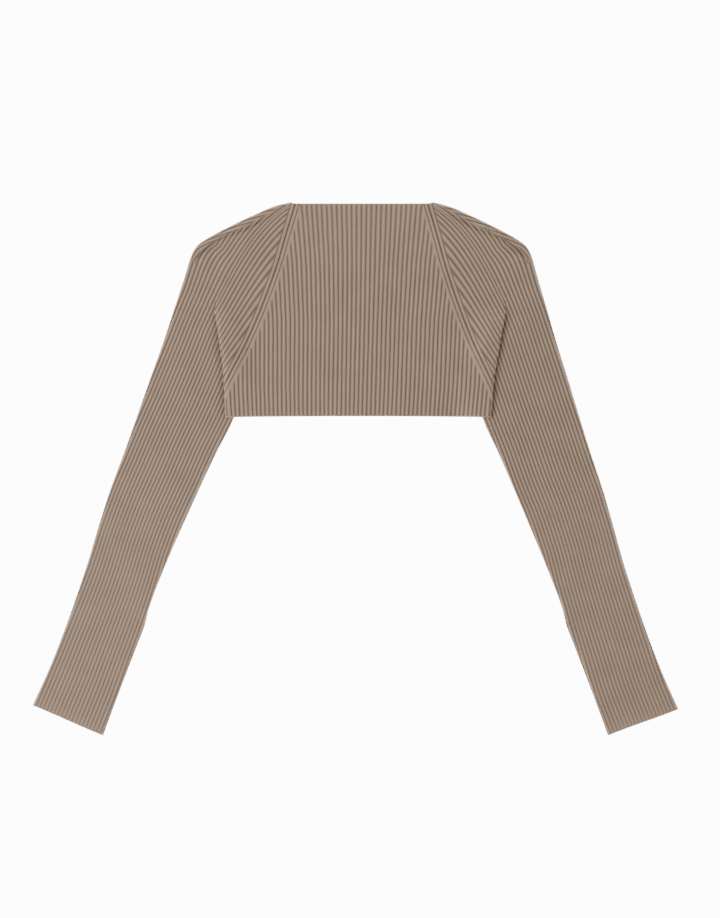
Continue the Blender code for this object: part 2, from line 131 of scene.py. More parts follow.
# Ribs of a panel, counted from the centre line to the side.
RibPitch = namedtuple("RibPitch", "depth pitch")
RIB_PITCH = [
    RibPitch(0.0, 6.76), RibPitch(78.0, 6.20), RibPitch(159.0, 5.88), RibPitch(247.0, 5.785),
    RibPitch(289.2, 5.683),
]
RIBS_TO_SIDE = 31.5
UNDERARM_DEPTH = RAGLAN[-1].depth
HEM_DEPTH = 287.7
HEM_SAG = 1.5
BACK_SHORTER = 2.0

# Ribs of a sleeve, counted from the outer fold. The crotch splits yoke and arm at one of them.
YOKE_RIBS = 22.0
CROTCH_RIB = 9.5
CROTCH_OUTER_DEPTH = 114.5
RibTurn = namedtuple("RibTurn", "rib start_angle end_angle")
RIB_TURNS = [
    RibTurn(9.5, 26.0, 64.0), RibTurn(12.0, 38.0, 61.0), RibTurn(15.0, 47.0, 59.0),
    RibTurn(18.0, 51.0, 57.0), RibTurn(22.0, 58.0, 62.0),
]
RAGLAN_START = 4.0
RAGLAN_LAST = 234.5
RAGLAN_POWER = 1.9
FOLD_LAST = 234.5

# The arms' ribs run outwards over the outer fold on their way down. The drift is how far they have
# moved at a place beside the fold.
ArmRibs = namedtuple("ArmRibs", "outer_depth left_drift right_drift pitch")
ARM_RIBS = [
    ArmRibs(114.5, 0.0, 0.0, 5.3), ArmRibs(154.0, 3.2, 2.8, 5.1),
    ArmRibs(202.0, 6.1, 4.7, 5.1), ArmRibs(250.0, 8.7, 5.5, 5.05),
    ArmRibs(298.0, 13.0, 7.4, 4.95), ArmRibs(346.0, 16.0, 8.5, 4.9),
    ArmRibs(394.0, 18.6, 9.9, 4.8), ArmRibs(442.0, 21.0, 11.0, 4.77),
    ArmRibs(490.0, 22.2, 10.7, 4.82), ArmRibs(538.0, 24.4, 10.2, 4.92),
    ArmRibs(586.0, 26.2, 9.2, 5.0), ArmRibs(634.0, 26.4, 6.8, 5.1),
    ArmRibs(680.2, 25.0, 4.9, 5.15),
]
ARM_PITCH = 5.0
DRIFT_PLACE = 16.0

# One raised edge rib on each side of the raglan seam, and the body's ribs, which part below it.
EDGE_RIB = 5.8
NECK_LEAN = 12.5 / 41.9
UNDERARM_OVERRUN = 20.0
ARCH_START = 6.0
ARCH_LENGTH = 6.0

# How the body's ribs open towards the neck: the share of their relief there, and where it is full.
NECK_RELIEF = 0.9
FULL_RELIEF_DEPTH = 150.0

# How a rib is shaped: places across one rib where the cloth is bent, and how full its crest is.
RIB_STEPS = (0.0, 0.12, 0.3, 0.5, 0.7, 0.88)
LEAST_STEP = 0.03
RIB_FULLNESS = 2.1
EDGE_RIB_FULLNESS = 2.2

# How ribs differ: each wave's size, its length down a rib, how far it shifts from one rib to the
# next, and whether it shifts with the piece. Evenness is a share of a rib's relief, and wander is
# sideways.
Wave = namedtuple("Wave", "size length shift phased")
EVENNESS = [Wave(0.06, math.inf, 2.39, 1.0), Wave(0.05, 23.0, 1.9, 0.0), Wave(0.04, 9.0, 4.1, 1.0)]
WANDER = [Wave(0.13, 31.0, 0.9, 1.0), Wave(0.09, 12.0, 2.3, 0.0), Wave(0.06, 5.3, 1.1, 1.0)]

# How the arm's ribs ease off down the arm, and once more above the cuff.
ARM_EASE = 0.17
ARM_EASE_START = 120.0
ARM_EASE_LENGTH = 340.0
CUFF_EASE = 0.3
CUFF_EASE_LENGTH = 18.0
SLEEVE_PHASE = 0.7

# Where the arms' seams kink above the cuff, and how far the back layer peeps out below.
KINK_DEPTH = 573.0
KINK_OUTER_DEPTH = 535.5
PEEP_WIDTH = 2.7
PEEP_DROP = 1.3
PEEP_LENGTH = 6.0
PEEP_RELIEF = 0.3
INNER_SIDE = 30.0

# The body's way down from the arm under it to the floor.
OVERLAP_LEDGE = 4.0
OVERLAP_SLOPE = 34.0
OVERLAP_RISE = 27.0
EDGE_SLANT = 0.93

# How far the front layer stands off the back beside the side folds.
SIDE_SWELL = 2.2
SWELL_RISE = 40.0
SWELL_START = 5.0
SWELL_FULL = 10.0
SWELL_END = 40.0

# Soft puffs between the creases of the shoulder, where the front layer stands off the back. They
# fade out over a share of their length at both ends.
Puff = namedtuple("Puff", "half depth end_half end_depth width height")
PUFF_FADE = 0.25
SHOULDER_PUFFS = [
    Puff(148.0, 25.0, 214.0, 57.0, 7.0, 1.5), Puff(166.0, 52.0, 224.0, 86.0, 10.0, 1.3),
    Puff(150.0, 54.0, 196.0, 94.0, 12.0, 0.8),
]

# Creases of the shoulder: the first one borders the strip that rolls over the fold. They fade in
# and out over shares of their length.
Crease = namedtuple("Crease", "path width fall")
CREASE_FADE_IN = 0.2
CREASE_FADE_OUT = 0.25
SHOULDER_CREASES = [
    Crease([Point(112.0, 11.5), Point(123.4, 16.9), Point(142.3, 27.7), Point(157.1, 35.8),
            Point(178.7, 42.5), Point(194.9, 50.6), Point(209.8, 62.8), Point(221.9, 73.6),
            Point(228.0, 84.0)], 3.2, 1.9),
    Crease([Point(151.7, 20.9), Point(163.9, 29.0), Point(173.3, 33.0), Point(186.8, 39.8),
            Point(209.8, 52.9)], 2.6, 1.0),
    Crease([Point(207.0, 60.0), Point(228.7, 80.3)], 2.2, 1.1),
    Crease([Point(199.0, 56.0), Point(212.5, 72.2)], 2.2, 1.2),
    Crease([Point(190.9, 54.7), Point(207.1, 74.9)], 2.4, 0.9),
]
KINK_CREASES = [
    Crease([Point(284.0, 570.0), Point(299.0, 560.0)], 2.6, 0.9),
    Crease([Point(286.0, 576.0), Point(302.0, 572.0)], 2.4, 0.6),
]

# The strip beside the shoulder fold, where the sleeve's back rolls over to the front. Its own ribs
# cross the fold at a slant.
STRIP_WIDTH = 11.0
STRIP_MOST_SHARE = 0.5
STRIP_FADE_START = 0.66
STRIP_FADE_LENGTH = 0.26
STRIP_BORDER = 0.15
STRIP_SLANT = 0.17
STRIP_RELIEF = 0.75
STRIP_PHASE = {-1: 0.2, 1: 0.55}
PACKED_RELIEF = 0.3

# Painted shade: how much darker the colour is made deep in the grooves and creases, and painted
# shadow on the arm beside the body, as a share, and how far that reaches.
SEAM_SHADE = 0.16
SEAM_SHADE_WIDTH = 1.3
EDGE_GROOVE_SHADE = 0.24
EDGE_GROOVE_WIDTH = 1.5
PANEL_SHADE_LENGTH = 3.5
YOKE_SHADE_LENGTH = 3.0
CREASE_SHADE = 0.16
UNDERARM_SHADE = 0.3
UNDERARM_SHADE_WIDTH = 11.0
UNDERARM_SHADE_RISE = 30.0
UNDERARM_SHADE_END = 8.0


# ---------------------------------------------------------------- curves and shaping

def smooth(value):
    """Eases from 0 to 1."""
    value = np.clip(value, 0.0, 1.0)
    return value * value * (3.0 - 2.0 * value)


def hermite(first, leave, last, arrive, t):
    """Points on the curve that leaves one point and arrives at the next with the given slopes."""
    return (first * (2 * t ** 3 - 3 * t ** 2 + 1) + leave * (t ** 3 - 2 * t ** 2 + t)
            + last * (3 * t ** 2 - 2 * t ** 3) + arrive * (t ** 3 - t ** 2))


class Path:
    """A smooth curve through a few points, read by the length run from the first.

    It runs on straight before its first point and past its last.
    """

    SAMPLES = 1500

    def __init__(self, points):
        self.points = np.array(points, float)
        steps = np.diff(self.points, axis=0)
        lengths = np.linalg.norm(steps, axis=1)
        self.runs = np.concatenate([[0.0], np.cumsum(lengths)])
        slopes = steps / lengths[:, None]
        self.slopes = np.vstack([slopes[:1], (slopes[:-1] + slopes[1:]) / 2.0, slopes[-1:]])
        self.length = self.runs[-1]
        self.sample_runs = np.linspace(0.0, self.length, self.SAMPLES)
        self.samples = self.at(self.sample_runs)

    def at(self, run):
        """The points at lengths along the curve."""
        run = np.asarray(run, float)
        inside = np.clip(run, 0.0, self.length)
        index = np.clip(np.searchsorted(self.runs, inside, side="right") - 1, 0, len(self.runs) - 2)
        span = (self.runs[index + 1] - self.runs[index])[..., None]
        t = (inside - self.runs[index])[..., None] / span
        leave, arrive = self.slopes[index] * span, self.slopes[index + 1] * span
        points = hermite(self.points[index], leave, self.points[index + 1], arrive, t)
        past = (run - inside)[..., None]
        return points + past * np.where(past < 0.0, self.slopes[0], self.slopes[-1])

    def direction(self, run):
        """The unit directions of travel at lengths along the curve."""
        ahead = self.at(np.asarray(run) + 1.0) - self.at(np.asarray(run) - 1.0)
        return ahead / np.linalg.norm(ahead, axis=-1, keepdims=True)

    def run_at_depth(self, depth):
        """The lengths at which the curve, which never climbs, reaches depths."""
        return np.interp(depth, self.samples[:, 1], self.sample_runs)

    def half_at(self, depth):
        """The half widths at depths."""
        return np.interp(depth, self.samples[:, 1], self.samples[:, 0])


RAGLAN_PATH = Path(RAGLAN)
SIDE_PATH = Path(SIDE_FOLD)
OUTER_PATH = Path(OUTER_FOLD)
HIDDEN_PATH = Path(HIDDEN_EDGE)
INNER_PATH = Path(INNER_SEAM)
ARM_EDGE = HIDDEN_EDGE + INNER_SEAM[1:3]
CROTCH = np.array(SIDE_FOLD[0], float)
CROTCH_RUN = float(OUTER_PATH.run_at_depth(CROTCH_OUTER_DEPTH))


def cross(first, second):
    """The signed area between two plane directions."""
    return first[..., 0] * second[..., 1] - first[..., 1] * second[..., 0]


def base_height(half, depth):
    """How high the body and yoke lie: on the floor, or over the arm tucked under their sides."""
    edge = np.interp(depth, [point.depth for point in ARM_EDGE], [point.half for point in ARM_EDGE])
    inward = (edge - half) * EDGE_SLANT
    rise = smooth((depth - SIDE_FOLD[0].depth) / OVERLAP_RISE)
    return OVERLAP_HEIGHT * rise * (1.0 - smooth((inward - OVERLAP_LEDGE) / OVERLAP_SLOPE))


def side_swell(half, depth):
    """How far the front layer stands off the back beside the side folds."""
    inward = SIDE_PATH.half_at(depth) - half
    rise = smooth((depth - SIDE_FOLD[0].depth) / SWELL_RISE)
    fall = 1.0 - smooth((inward - SWELL_FULL) / (SWELL_END - SWELL_FULL))
    return SIDE_SWELL * rise * smooth(inward / SWELL_START) * fall


def underarm_shade(half, depth):
    """The painted shadow on the arm beside the body that lies on it, as a share of darkening."""
    outward = half - SIDE_PATH.half_at(depth)
    above_hem = 1.0 - smooth((depth - HEM_DEPTH) / UNDERARM_SHADE_END + 0.5)
    rise = smooth((depth - SIDE_FOLD[0].depth) / UNDERARM_SHADE_RISE) * above_hem
    return UNDERARM_SHADE * rise * (1.0 - smooth(outward / UNDERARM_SHADE_WIDTH))


def edge_curve(distance):
    """How full the cloth stands at a distance from a closed fold, from 0 on the fold to 1."""
    short = 1.0 - np.clip(distance / ROUNDING, 0.0, 1.0)
    return np.sqrt(1.0 - short * short)


def rib_wave(rib):
    """The height of a rib from 0 in its grooves to 1 on its crest."""
    return 1.0 - np.abs(2.0 * (rib % 1.0) - 1.0) ** RIB_FULLNESS


def wave_sum(waves, rib, run, phase):
    """The sum of a few waves at places down the ribs."""
    total = np.zeros(np.broadcast_shapes(np.shape(rib), np.shape(run)))
    for wave in waves:
        total += wave.size * np.sin(run / wave.length + rib * wave.shift + wave.phased * phase)
    return total


def rib_evenness(rib, run, phase):
    """How each rib's relief varies a little from its neighbour's and along its run."""
    return 1.0 + wave_sum(EVENNESS, np.floor(rib), run, phase)


def along_line(half, depth, first, last):
    """How far places lie along a straight line as a share of it, and beside it in millimetres."""
    run = np.array([last[0] - first[0], last[1] - first[1]])
    reach = np.stack([half - first[0], depth - first[1]], axis=-1)
    share = (reach @ run) / float(run @ run)
    beside = np.linalg.norm(reach - run * np.clip(share, 0.0, 1.0)[..., None], axis=-1)
    return share, beside


def puff_rise(half, depth):
    """How far the front layer stands off the back over the shoulder."""
    rise = np.zeros_like(half)
    for puff in SHOULDER_PUFFS:
        share, beside = along_line(half, depth, puff[0:2], puff[2:4])
        fade = smooth(share / PUFF_FADE) * smooth((1.0 - share) / PUFF_FADE)
        rise += puff.height * fade * smooth(1.0 - beside / puff.width)
    return rise


def crease_fall(half, depth, creases):
    """How far the front layer sinks in the creases, each deepest in its middle."""
    fall = np.zeros_like(half)
    for crease in creases:
        path = np.array(crease.path, float)
        lengths = np.linalg.norm(np.diff(path, axis=0), axis=1)
        starts = np.concatenate([[0.0], np.cumsum(lengths)])
        nearest = np.full_like(half, np.inf)
        share = np.zeros_like(half)
        for index, length in enumerate(lengths):
            part, beside = along_line(half, depth, path[index], path[index + 1])
            closer = beside < nearest
            nearest = np.where(closer, beside, nearest)
            here = (starts[index] + np.clip(part, 0.0, 1.0) * length) / starts[-1]
            share = np.where(closer, here, share)
        fade = smooth(share / CREASE_FADE_IN) * smooth((1.0 - share) / CREASE_FADE_OUT)
        fall += crease.fall * fade * smooth(1.0 - nearest / crease.width)
    return fall


def rib_columns(first, last):
    """Places across the ribs from one rib count to another, at every bend of a rib."""
    wholes = np.arange(math.floor(first), math.ceil(last))
    columns = (wholes[:, None] + np.array(RIB_STEPS)[None, :]).ravel()
    inside = columns[(columns > first + LEAST_STEP) & (columns < last - LEAST_STEP)]
    return np.concatenate([[first], inside, [last]])


# ---------------------------------------------------------------- sheets of cloth

# groove scales the painted shade in a sheet's grooves; shade is painted shade and shadow.
Sheet = namedtuple("Sheet", "half depth height rib run groove shade", defaults=(0.0,))


def world(side, sheet):
    """The places of a sheet in world metres. Side is -1 on the left and 1 on the right."""
    x = CENTRE_X + LEAN * smooth(sheet.depth / LEAN_DEPTH) + side * sheet.half
    uneven = UNEVEN_REACH * smooth((sheet.half - UNEVEN_START) / UNEVEN_WIDTH)
    y = NECK_Y - sheet.depth - side * uneven
    return np.stack([x, y, sheet.height], axis=-1) * MM


def new_cloth():
    """An empty mesh with the layers that the knit finish reads."""
    cloth = bmesh.new()
    cloth.loops.layers.uv.new("knit")
    # The groove and shade layers hold the strengths of the painted shade and shadow.
    cloth.verts.layers.float.new("groove")
    cloth.verts.layers.float.new("shade")
    return cloth


def add_sheet(cloth, side, sheet, face_up):
    """Lays one grid into the cloth, moves its points to the sheet's places and marks its ribs."""
    knit = cloth.loops.layers.uv["knit"]
    groove = cloth.verts.layers.float["groove"]
    shade = cloth.verts.layers.float["shade"]
    rows, columns = sheet.half.shape
    first_face = len(cloth.faces)
    grid = bmesh.ops.create_grid(cloth, x_segments=columns - 1, y_segments=rows - 1, size=1.0)
    made = grid["verts"]
    spots = np.array([vert.co[:2] for vert in made])
    column = np.rint((spots[:, 0] + 1.0) / 2.0 * (columns - 1)).astype(int)
    row = np.rint((spots[:, 1] + 1.0) / 2.0 * (rows - 1)).astype(int)
    places = world(side, sheet)[row, column]
    depths = np.broadcast_to(sheet.groove, sheet.half.shape)[row, column]
    shades = np.broadcast_to(sheet.shade, sheet.half.shape)[row, column]
    ribs = np.broadcast_to(sheet.rib, sheet.half.shape)[row, column]
    stitches = (np.broadcast_to(sheet.run, sheet.half.shape) / STITCH_ROW)[row, column]
    cloth.verts.index_update()
    first_vert = made[0].index
    for vert, place, depth, dark in zip(made, places.tolist(), depths.tolist(), shades.tolist()):
        vert.co = place
        vert[groove] = depth
        vert[shade] = dark
    knit_places = list(zip(ribs.tolist(), stitches.tolist()))
    cloth.faces.ensure_lookup_table()
    faces = cloth.faces[first_face:]
    for face in faces:
        for loop in face.loops:
            loop[knit].uv = knit_places[loop.vert.index - first_vert]
    middle = places[np.argsort(row * columns + column)].reshape(rows, columns, 3)
    across = middle[rows // 2, columns // 2 + 1] - middle[rows // 2, columns // 2]
    down = middle[rows // 2 + 1, columns // 2] - middle[rows // 2, columns // 2]
    if (cross(across, down) > 0.0) != face_up:
        bmesh.ops.reverse_faces(cloth, faces=faces)


def twin_faces(cloth):
    """The faces on closed folds where the front and the back layer have the same corners."""
    found = {}
    for face in cloth.faces:
        found.setdefault(frozenset(face.verts), []).append(face)
    return [face for faces in found.values() if len(faces) > 1 for face in faces]


def finish_cloth(name, cloth, node):
    bmesh.ops.remove_doubles(cloth, verts=cloth.verts, dist=WELD)
    bmesh.ops.dissolve_degenerate(cloth, edges=cloth.edges, dist=WELD / 2.0)
    bmesh.ops.delete(cloth, geom=twin_faces(cloth), context="FACES")
    loose = [vert for vert in cloth.verts if not vert.link_faces]
    bmesh.ops.delete(cloth, geom=loose, context="VERTS")
    mesh = bpy.data.meshes.new(name)
    cloth.to_mesh(mesh)
    cloth.free()
    mesh.shade_smooth()
    piece = bpy.data.objects.new(name, mesh)
    bpy.context.scene.collection.objects.link(piece)
    wall = piece.modifiers.new("wall", "SOLIDIFY")
    wall.thickness = WALL * MM
    wall.offset = -1.0
    mesh.materials.append(knit_material())
    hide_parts(node)
    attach(piece, BODY)
    return piece


# ---------------------------------------------------------------- the body's two panels

# Distances of the rows from the start of a rib and from the hem, and the rows between.
PANEL_FIRST_ROWS = (0.0, 0.8, 1.6, 2.5, 4.0, 6.0, 8.5, 12.0)
PANEL_LAST_ROWS = (6.0, 4.4, 3.2, 2.4, 1.7, 1.1, 0.5, 0.0)
PANEL_MIDDLE_ROWS = 46
EDGE_RIB_SHARES = (1.0, 0.9, 0.76, 0.59, 0.4, 0.23, 0.1, 0.0)
SIDE_STEPS = (31.38, 31.44, 31.48)
SEAM_STEP = 0.05
FOOT_SAMPLES = 3000

# Lengths below the neck or the seam over which the edge rib turns level, a rib begins and its
# wander sets in, and the ribs beside the side fold and the centre line that wander less.
LEVEL_LENGTH = 12.0
BEGIN_LENGTH = 2.0
CALM_LENGTH = 18.0
CALM_SIDE_RIBS = 1.5
CALM_CENTRE_RIBS = 0.5


def rib_pitch(depth):
    """The distance between a panel's ribs at a depth."""
    return np.interp(depth, [row.depth for row in RIB_PITCH], [row.pitch for row in RIB_PITCH])


def beside_seam(foot, offset):
    """Places at an offset from the raglan seam, negative towards the body, from a place on it."""
    ahead = RAGLAN_PATH.direction(foot)
    outward = np.stack([ahead[..., 1], -ahead[..., 0]], axis=-1)
    return RAGLAN_PATH.at(foot) + outward * np.asarray(offset)[..., None]


def body_edge_point(foot, offset):
    """Places on the body's edge rib, whose top end is cut level at the neck."""
    level = NECK_LEAN * offset * (1.0 - smooth(foot / LEVEL_LENGTH))
    return beside_seam(foot - level, -offset)


def panel_feet():
    """For places along the seam: the foot on it, and the rib and depth at the edge rib's inside."""
    foot = np.linspace(0.0, RAGLAN_PATH.length + UNDERARM_OVERRUN, FOOT_SAMPLES)
    inside = body_edge_point(foot, np.full_like(foot, EDGE_RIB))
    rib = inside[:, 0] / rib_pitch(inside[:, 1])
    within = rib <= RIBS_TO_SIDE
    return foot[within], rib[within], inside[within, 1]


def panel_columns():
    """The ribs of one half of a panel, with the first one that starts on the seam among them."""
    _, seam_ribs, _ = panel_feet()
    columns = rib_columns(0.0, RIBS_TO_SIDE)
    columns = columns[np.abs(columns - seam_ribs[0]) > SEAM_STEP]
    return np.sort(np.concatenate([columns, [seam_ribs[0]], SIDE_STEPS]))


def hem_depth(rib):
    """The depth of the hem, which sags a little towards the sides."""
    return HEM_DEPTH + HEM_SAG * (rib / RIBS_TO_SIDE) ** 2


PanelSheet = namedtuple("PanelSheet", "half depth rib run relief finish edge groove shade")


def panel_net(columns, middle_rows, inset):
    """The depths of a panel's rows, where its ribs start, and which of them start at the neck."""
    _, seam_ribs, seam_depths = panel_feet()
    from_neck = columns <= seam_ribs[0]
    on_seam = np.maximum(np.interp(columns, seam_ribs, seam_depths), inset)
    start = np.where(from_neck, inset, on_seam)
    first, last = np.array(PANEL_FIRST_ROWS), np.array(PANEL_LAST_ROWS)
    shares = np.linspace(0.0, 1.0, middle_rows + 2)[1:-1, None]
    top = start + first[:, None]
    bottom = hem_depth(columns) - inset - last[:, None]
    between = top[-1] + (bottom[0] - top[-1]) * shares
    return np.vstack([top, between, bottom]), start, from_neck


def panel_side_limit(depth):
    """The half width of a panel at its side fold."""
    return RIBS_TO_SIDE * rib_pitch(depth)


def panel_main(phase, middle_rows, inset=0.0):
    """The main sheet of a panel's half, ending inside the front's neck edge and hem by the inset.

    Ribs that start on the raglan are joined beside its edge rib and part a little further down.
    """
    columns = panel_columns()
    depth, start, from_neck = panel_net(columns, middle_rows, inset)
    rib = np.broadcast_to(columns, depth.shape)
    down = depth - start
    calm = smooth(down / CALM_LENGTH) * smooth((RIBS_TO_SIDE - rib) / CALM_SIDE_RIBS)
    calm = calm * smooth(rib / CALM_CENTRE_RIBS)
    half = rib * rib_pitch(depth) + wave_sum(WANDER, rib, depth, phase) * calm
    to_hem = hem_depth(rib) - inset - depth
    at_neck = smooth((down - EDGE_FINISH) / FINISH_FADE)
    at_hem = smooth((to_hem - EDGE_FINISH) / FINISH_FADE)
    begun = np.where(from_neck, at_neck, smooth(down / BEGIN_LENGTH)) * at_hem
    parted = np.where(from_neck, at_neck, smooth((down - ARCH_START) / ARCH_LENGTH))
    opened = NECK_RELIEF + (1.0 - NECK_RELIEF) * smooth(depth / FULL_RELIEF_DEPTH)
    relief = begun * opened * (1.0 - (1.0 - rib_wave(rib)) * parted)
    relief = relief * rib_evenness(rib, depth, phase)
    finish = np.maximum(np.where(from_neck, 1.0 - at_neck, 0.0), 1.0 - at_hem)
    # Painted shade in the groove beside the edge rib, where a rib starts on the seam.
    shade = np.where(from_neck, 0.0, EDGE_GROOVE_SHADE * (1.0 - smooth(down / PANEL_SHADE_LENGTH)))
    edge = (RIBS_TO_SIDE - rib) * rib_pitch(depth)
    # How strongly the grooves get painted shade.
    groove = parted * at_hem * opened
    return PanelSheet(half, depth, rib, depth, relief, finish, edge, groove, shade)


def panel_edge_rib(inset=0.0):
    """The raised rib on the raglan, from the main sheet to the seam, clipped at the side fold."""
    columns = panel_columns()
    feet, seam_ribs, seam_depths = panel_feet()
    on_seam = columns[columns >= seam_ribs[0]]
    foot = np.maximum(np.interp(on_seam, seam_ribs, feet), RAGLAN_PATH.run_at_depth(inset))
    offset = EDGE_RIB * np.array(EDGE_RIB_SHARES)[:, None] + np.zeros_like(foot)
    place = body_edge_point(np.broadcast_to(foot, offset.shape), offset)
    half, depth = place[..., 0], place[..., 1]
    depth[0] = np.maximum(np.interp(on_seam, seam_ribs, seam_depths), inset)
    half[0] = on_seam * rib_pitch(depth[0])
    limit = panel_side_limit(depth)
    half = np.minimum(half, limit)
    past_underarm = depth > UNDERARM_DEPTH
    edge = np.where(past_underarm, limit - half, EDGE_RIB)
    edge[0, -1] = 0.0
    run = np.broadcast_to(foot, offset.shape)
    return PanelSheet(half, depth, offset / EDGE_RIB, run, edge_rib_wave(offset), 0.0, edge, 1.0,
                      edge_rib_shade(offset))


def edge_rib_wave(offset):
    """The height of an edge rib from 0 in the grooves beside it to 1 on its crest."""
    return 1.0 - np.abs(2.0 * offset / EDGE_RIB - 1.0) ** EDGE_RIB_FULLNESS


def edge_rib_shade(offset):
    """The painted shade in the seam and in the groove on the other side of an edge rib."""
    at_seam = SEAM_SHADE * (1.0 - smooth(offset / SEAM_SHADE_WIDTH))
    return at_seam + EDGE_GROOVE_SHADE * (1.0 - smooth((EDGE_RIB - offset) / EDGE_GROOVE_WIDTH))


# ---------------------------------------------------------------- the sleeves

# The yoke: the lengths down its ribs at its first rows, the lengths left at its last, and how much
# longer a curved rib is than its chord.
YOKE_FIRST_ROWS = (0.0, 0.8, 1.7, 2.8, 4.2, 6.2, 9.0)
YOKE_LAST_ROWS = (3.6, 2.1, 1.2, 0.55, 0.15, 0.0)
YOKE_MIDDLE_ROWS = 32
YOKE_LEAST_LENGTH = 30.0
YOKE_BEGIN_LENGTH = 3.2
CURVE_SLACK = 1.04

# Places close to the outer fold, in ribs, and the rib place from which the usual ones go on.
FOLD_STEPS = (0.05, 0.14, 0.26, 0.4)
FOLD_RIB = 0.5

# How far the side fold leans from straight down, and a distance that counts as past every fold.
SIDE_LEAN = math.radians(8.0)
FAR = 1e3

# Ribs as close as the first pitch are packed flat, and from the second on they have full relief.
PACKED_PITCH = 1.2
OPEN_PITCH = 3.8

# The arm: its columns at the inner edge, the length below the crotch over which they set in, and
# its rows, which are closer at both ends and at the kink.
ARM_EDGE_STEPS = (1.0, 0.86, 0.77, 0.66, 0.42, 0.22, 0.09, 0.02, 0.0)
ARM_EDGE_MARGIN = 3.4
CROTCH_LENGTH = 14.0
ARM_FIRST_ROWS = (0.0, 1.2, 2.6, 4.2, 6.5, 9.5)
ARM_CLOSE_ROWS = np.arange(13.5, 62.0, 4.0)
UPPER_ARM_ROWS = 36
LOWER_ARM_ROWS = 14
KINK_REACH = 24.0
KINK_STEP = 3.0
ARM_LAST_ROWS = (6.0, 5.0, 4.1, 3.2, 2.4, 1.6, 0.8, 0.0)
CUFF_OVERRUN = 3.0

# The edge rib below the yoke's last rib, and how close to the side fold counts as on it.
UNDERARM_COLUMNS = 8
ON_FOLD = 0.02


def sleeve_ribs(last):
    """The places across a sleeve's ribs, with a few more close to the outer fold."""
    columns = rib_columns(0.0, last)
    columns = columns[(columns == 0.0) | (columns >= FOLD_RIB)]
    return np.sort(np.concatenate([columns, FOLD_STEPS]))


def yoke_ends(rib):
    """Where the yoke's ribs inside the crotch start beside the seam and end on the side fold."""
    share = (rib - CROTCH_RIB) / (YOKE_RIBS - CROTCH_RIB)
    seam_depth = RAGLAN_START + (RAGLAN_LAST - RAGLAN_START) * share ** RAGLAN_POWER
    foot = RAGLAN_PATH.run_at_depth(seam_depth)
    fold_depth = SIDE_FOLD[0].depth + (FOLD_LAST - SIDE_FOLD[0].depth) * share
    end = SIDE_PATH.at(SIDE_PATH.run_at_depth(fold_depth))
    return foot, beside_seam(foot, np.full_like(foot, EDGE_RIB)), end


def strip_share(reach):
    """The share of the way from the crotch's rib to the outer fold that the strip takes."""
    return np.minimum(STRIP_WIDTH / reach, STRIP_MOST_SHARE)


def strip_fade(t):
    """How much of the strip is left down the yoke's ribs, from 1 at the neck to 0."""
    return 1.0 - smooth((t - STRIP_FADE_START) / STRIP_FADE_LENGTH)


def fold_share(rib, reach, t):
    """How far from the crotch's rib (0) to the outer fold (1) a rib outside the crotch lies.

    Ribs keep their spacing as far as the crease beside the fold and are packed into the strip past
    it. Where the strip fades out they spread evenly.
    """
    natural = ARM_START_PITCH / reach
    place = (CROTCH_RIB - rib) * natural
    most = CROTCH_RIB * natural
    strip = strip_share(reach)
    packed = 1.0 - strip + strip * (place - 1.0 + strip) / np.maximum(most - 1.0 + strip, 1e-6)
    kept = np.where(place <= 1.0 - strip, place, packed)
    even = place / most
    return even + (kept - even) * strip_fade(t) * (most > 1.0)


Net = namedtuple("Net", "place rib run edge")
Yoke = namedtuple("Yoke", "net down foot strip strip_rib")


def yoke_net(rib):
    """The yoke's places, the lengths down its ribs, and the strip's weight and own ribs."""
    inside_rib = np.maximum(rib, CROTCH_RIB)
    foot, first, last = yoke_ends(inside_rib)
    chord = np.linalg.norm(last - first, axis=1)
    length = chord * CURVE_SLACK
    scale = np.minimum(length / YOKE_LEAST_LENGTH, 1.0)
    top = np.array(YOKE_FIRST_ROWS)[:, None] * scale
    bottom = length - np.array(YOKE_LAST_ROWS)[:, None] * scale
    shares = np.linspace(0.0, 1.0, YOKE_MIDDLE_ROWS + 2)[1:-1, None]
    down = np.vstack([top, top[-1] + (bottom[0] - top[-1]) * shares, bottom])
    t = (down / length)[..., None]
    turns = [turn.rib for turn in RIB_TURNS]
    leave = np.radians(np.interp(inside_rib, turns, [turn.start_angle for turn in RIB_TURNS]))
    arrive = np.radians(np.interp(inside_rib, turns, [turn.end_angle for turn in RIB_TURNS]))
    leave = np.stack([np.cos(leave), np.sin(leave)], axis=-1) * chord[:, None]
    arrive = np.stack([np.cos(arrive), np.sin(arrive)], axis=-1) * chord[:, None]
    place = hermite(first, leave, last, arrive, t)
    outside = rib < CROTCH_RIB
    fold_run = t[..., 0] * CROTCH_RUN
    fold = OUTER_PATH.at(fold_run)
    reach_vector = fold - place
    reach = np.linalg.norm(reach_vector, axis=-1)
    share = np.where(outside, fold_share(rib, reach, t[..., 0]), 0.0)
    slant = np.abs(cross(reach_vector / reach[..., None], OUTER_PATH.direction(fold_run)))
    fold_distance = np.where(outside, (1.0 - share) * reach * slant, FAR)
    strip = strip_share(reach)
    strip_weight = smooth((share - 1.0 + strip) / (STRIP_BORDER * strip)) * strip_fade(t[..., 0])
    strip_rib = (fold_distance + STRIP_SLANT * fold_run) / ARM_PITCH
    place = place + reach_vector * share[..., None]
    foot = np.where(outside, foot * (1.0 - share[0]), foot)
    edge = np.minimum(fold_distance, side_distance(place, SIDE_PATH))
    edge[:, 0] = 0.0
    edge[-1, ~outside] = 0.0
    net = Net(place, np.broadcast_to(rib, down.shape), down - length, edge)
    return Yoke(net, down, foot, np.where(outside, strip_weight, 0.0), strip_rib)


def side_distance(place, path):
    """The distance from the side fold or the arm's inner edge, which both start at the crotch."""
    across = path.half_at(place[..., 1]) - place[..., 0]
    above = np.hypot(place[..., 0] - CROTCH[0], place[..., 1] - CROTCH[1])
    return np.where(place[..., 1] > CROTCH[1], np.abs(across) * math.cos(SIDE_LEAN), above)


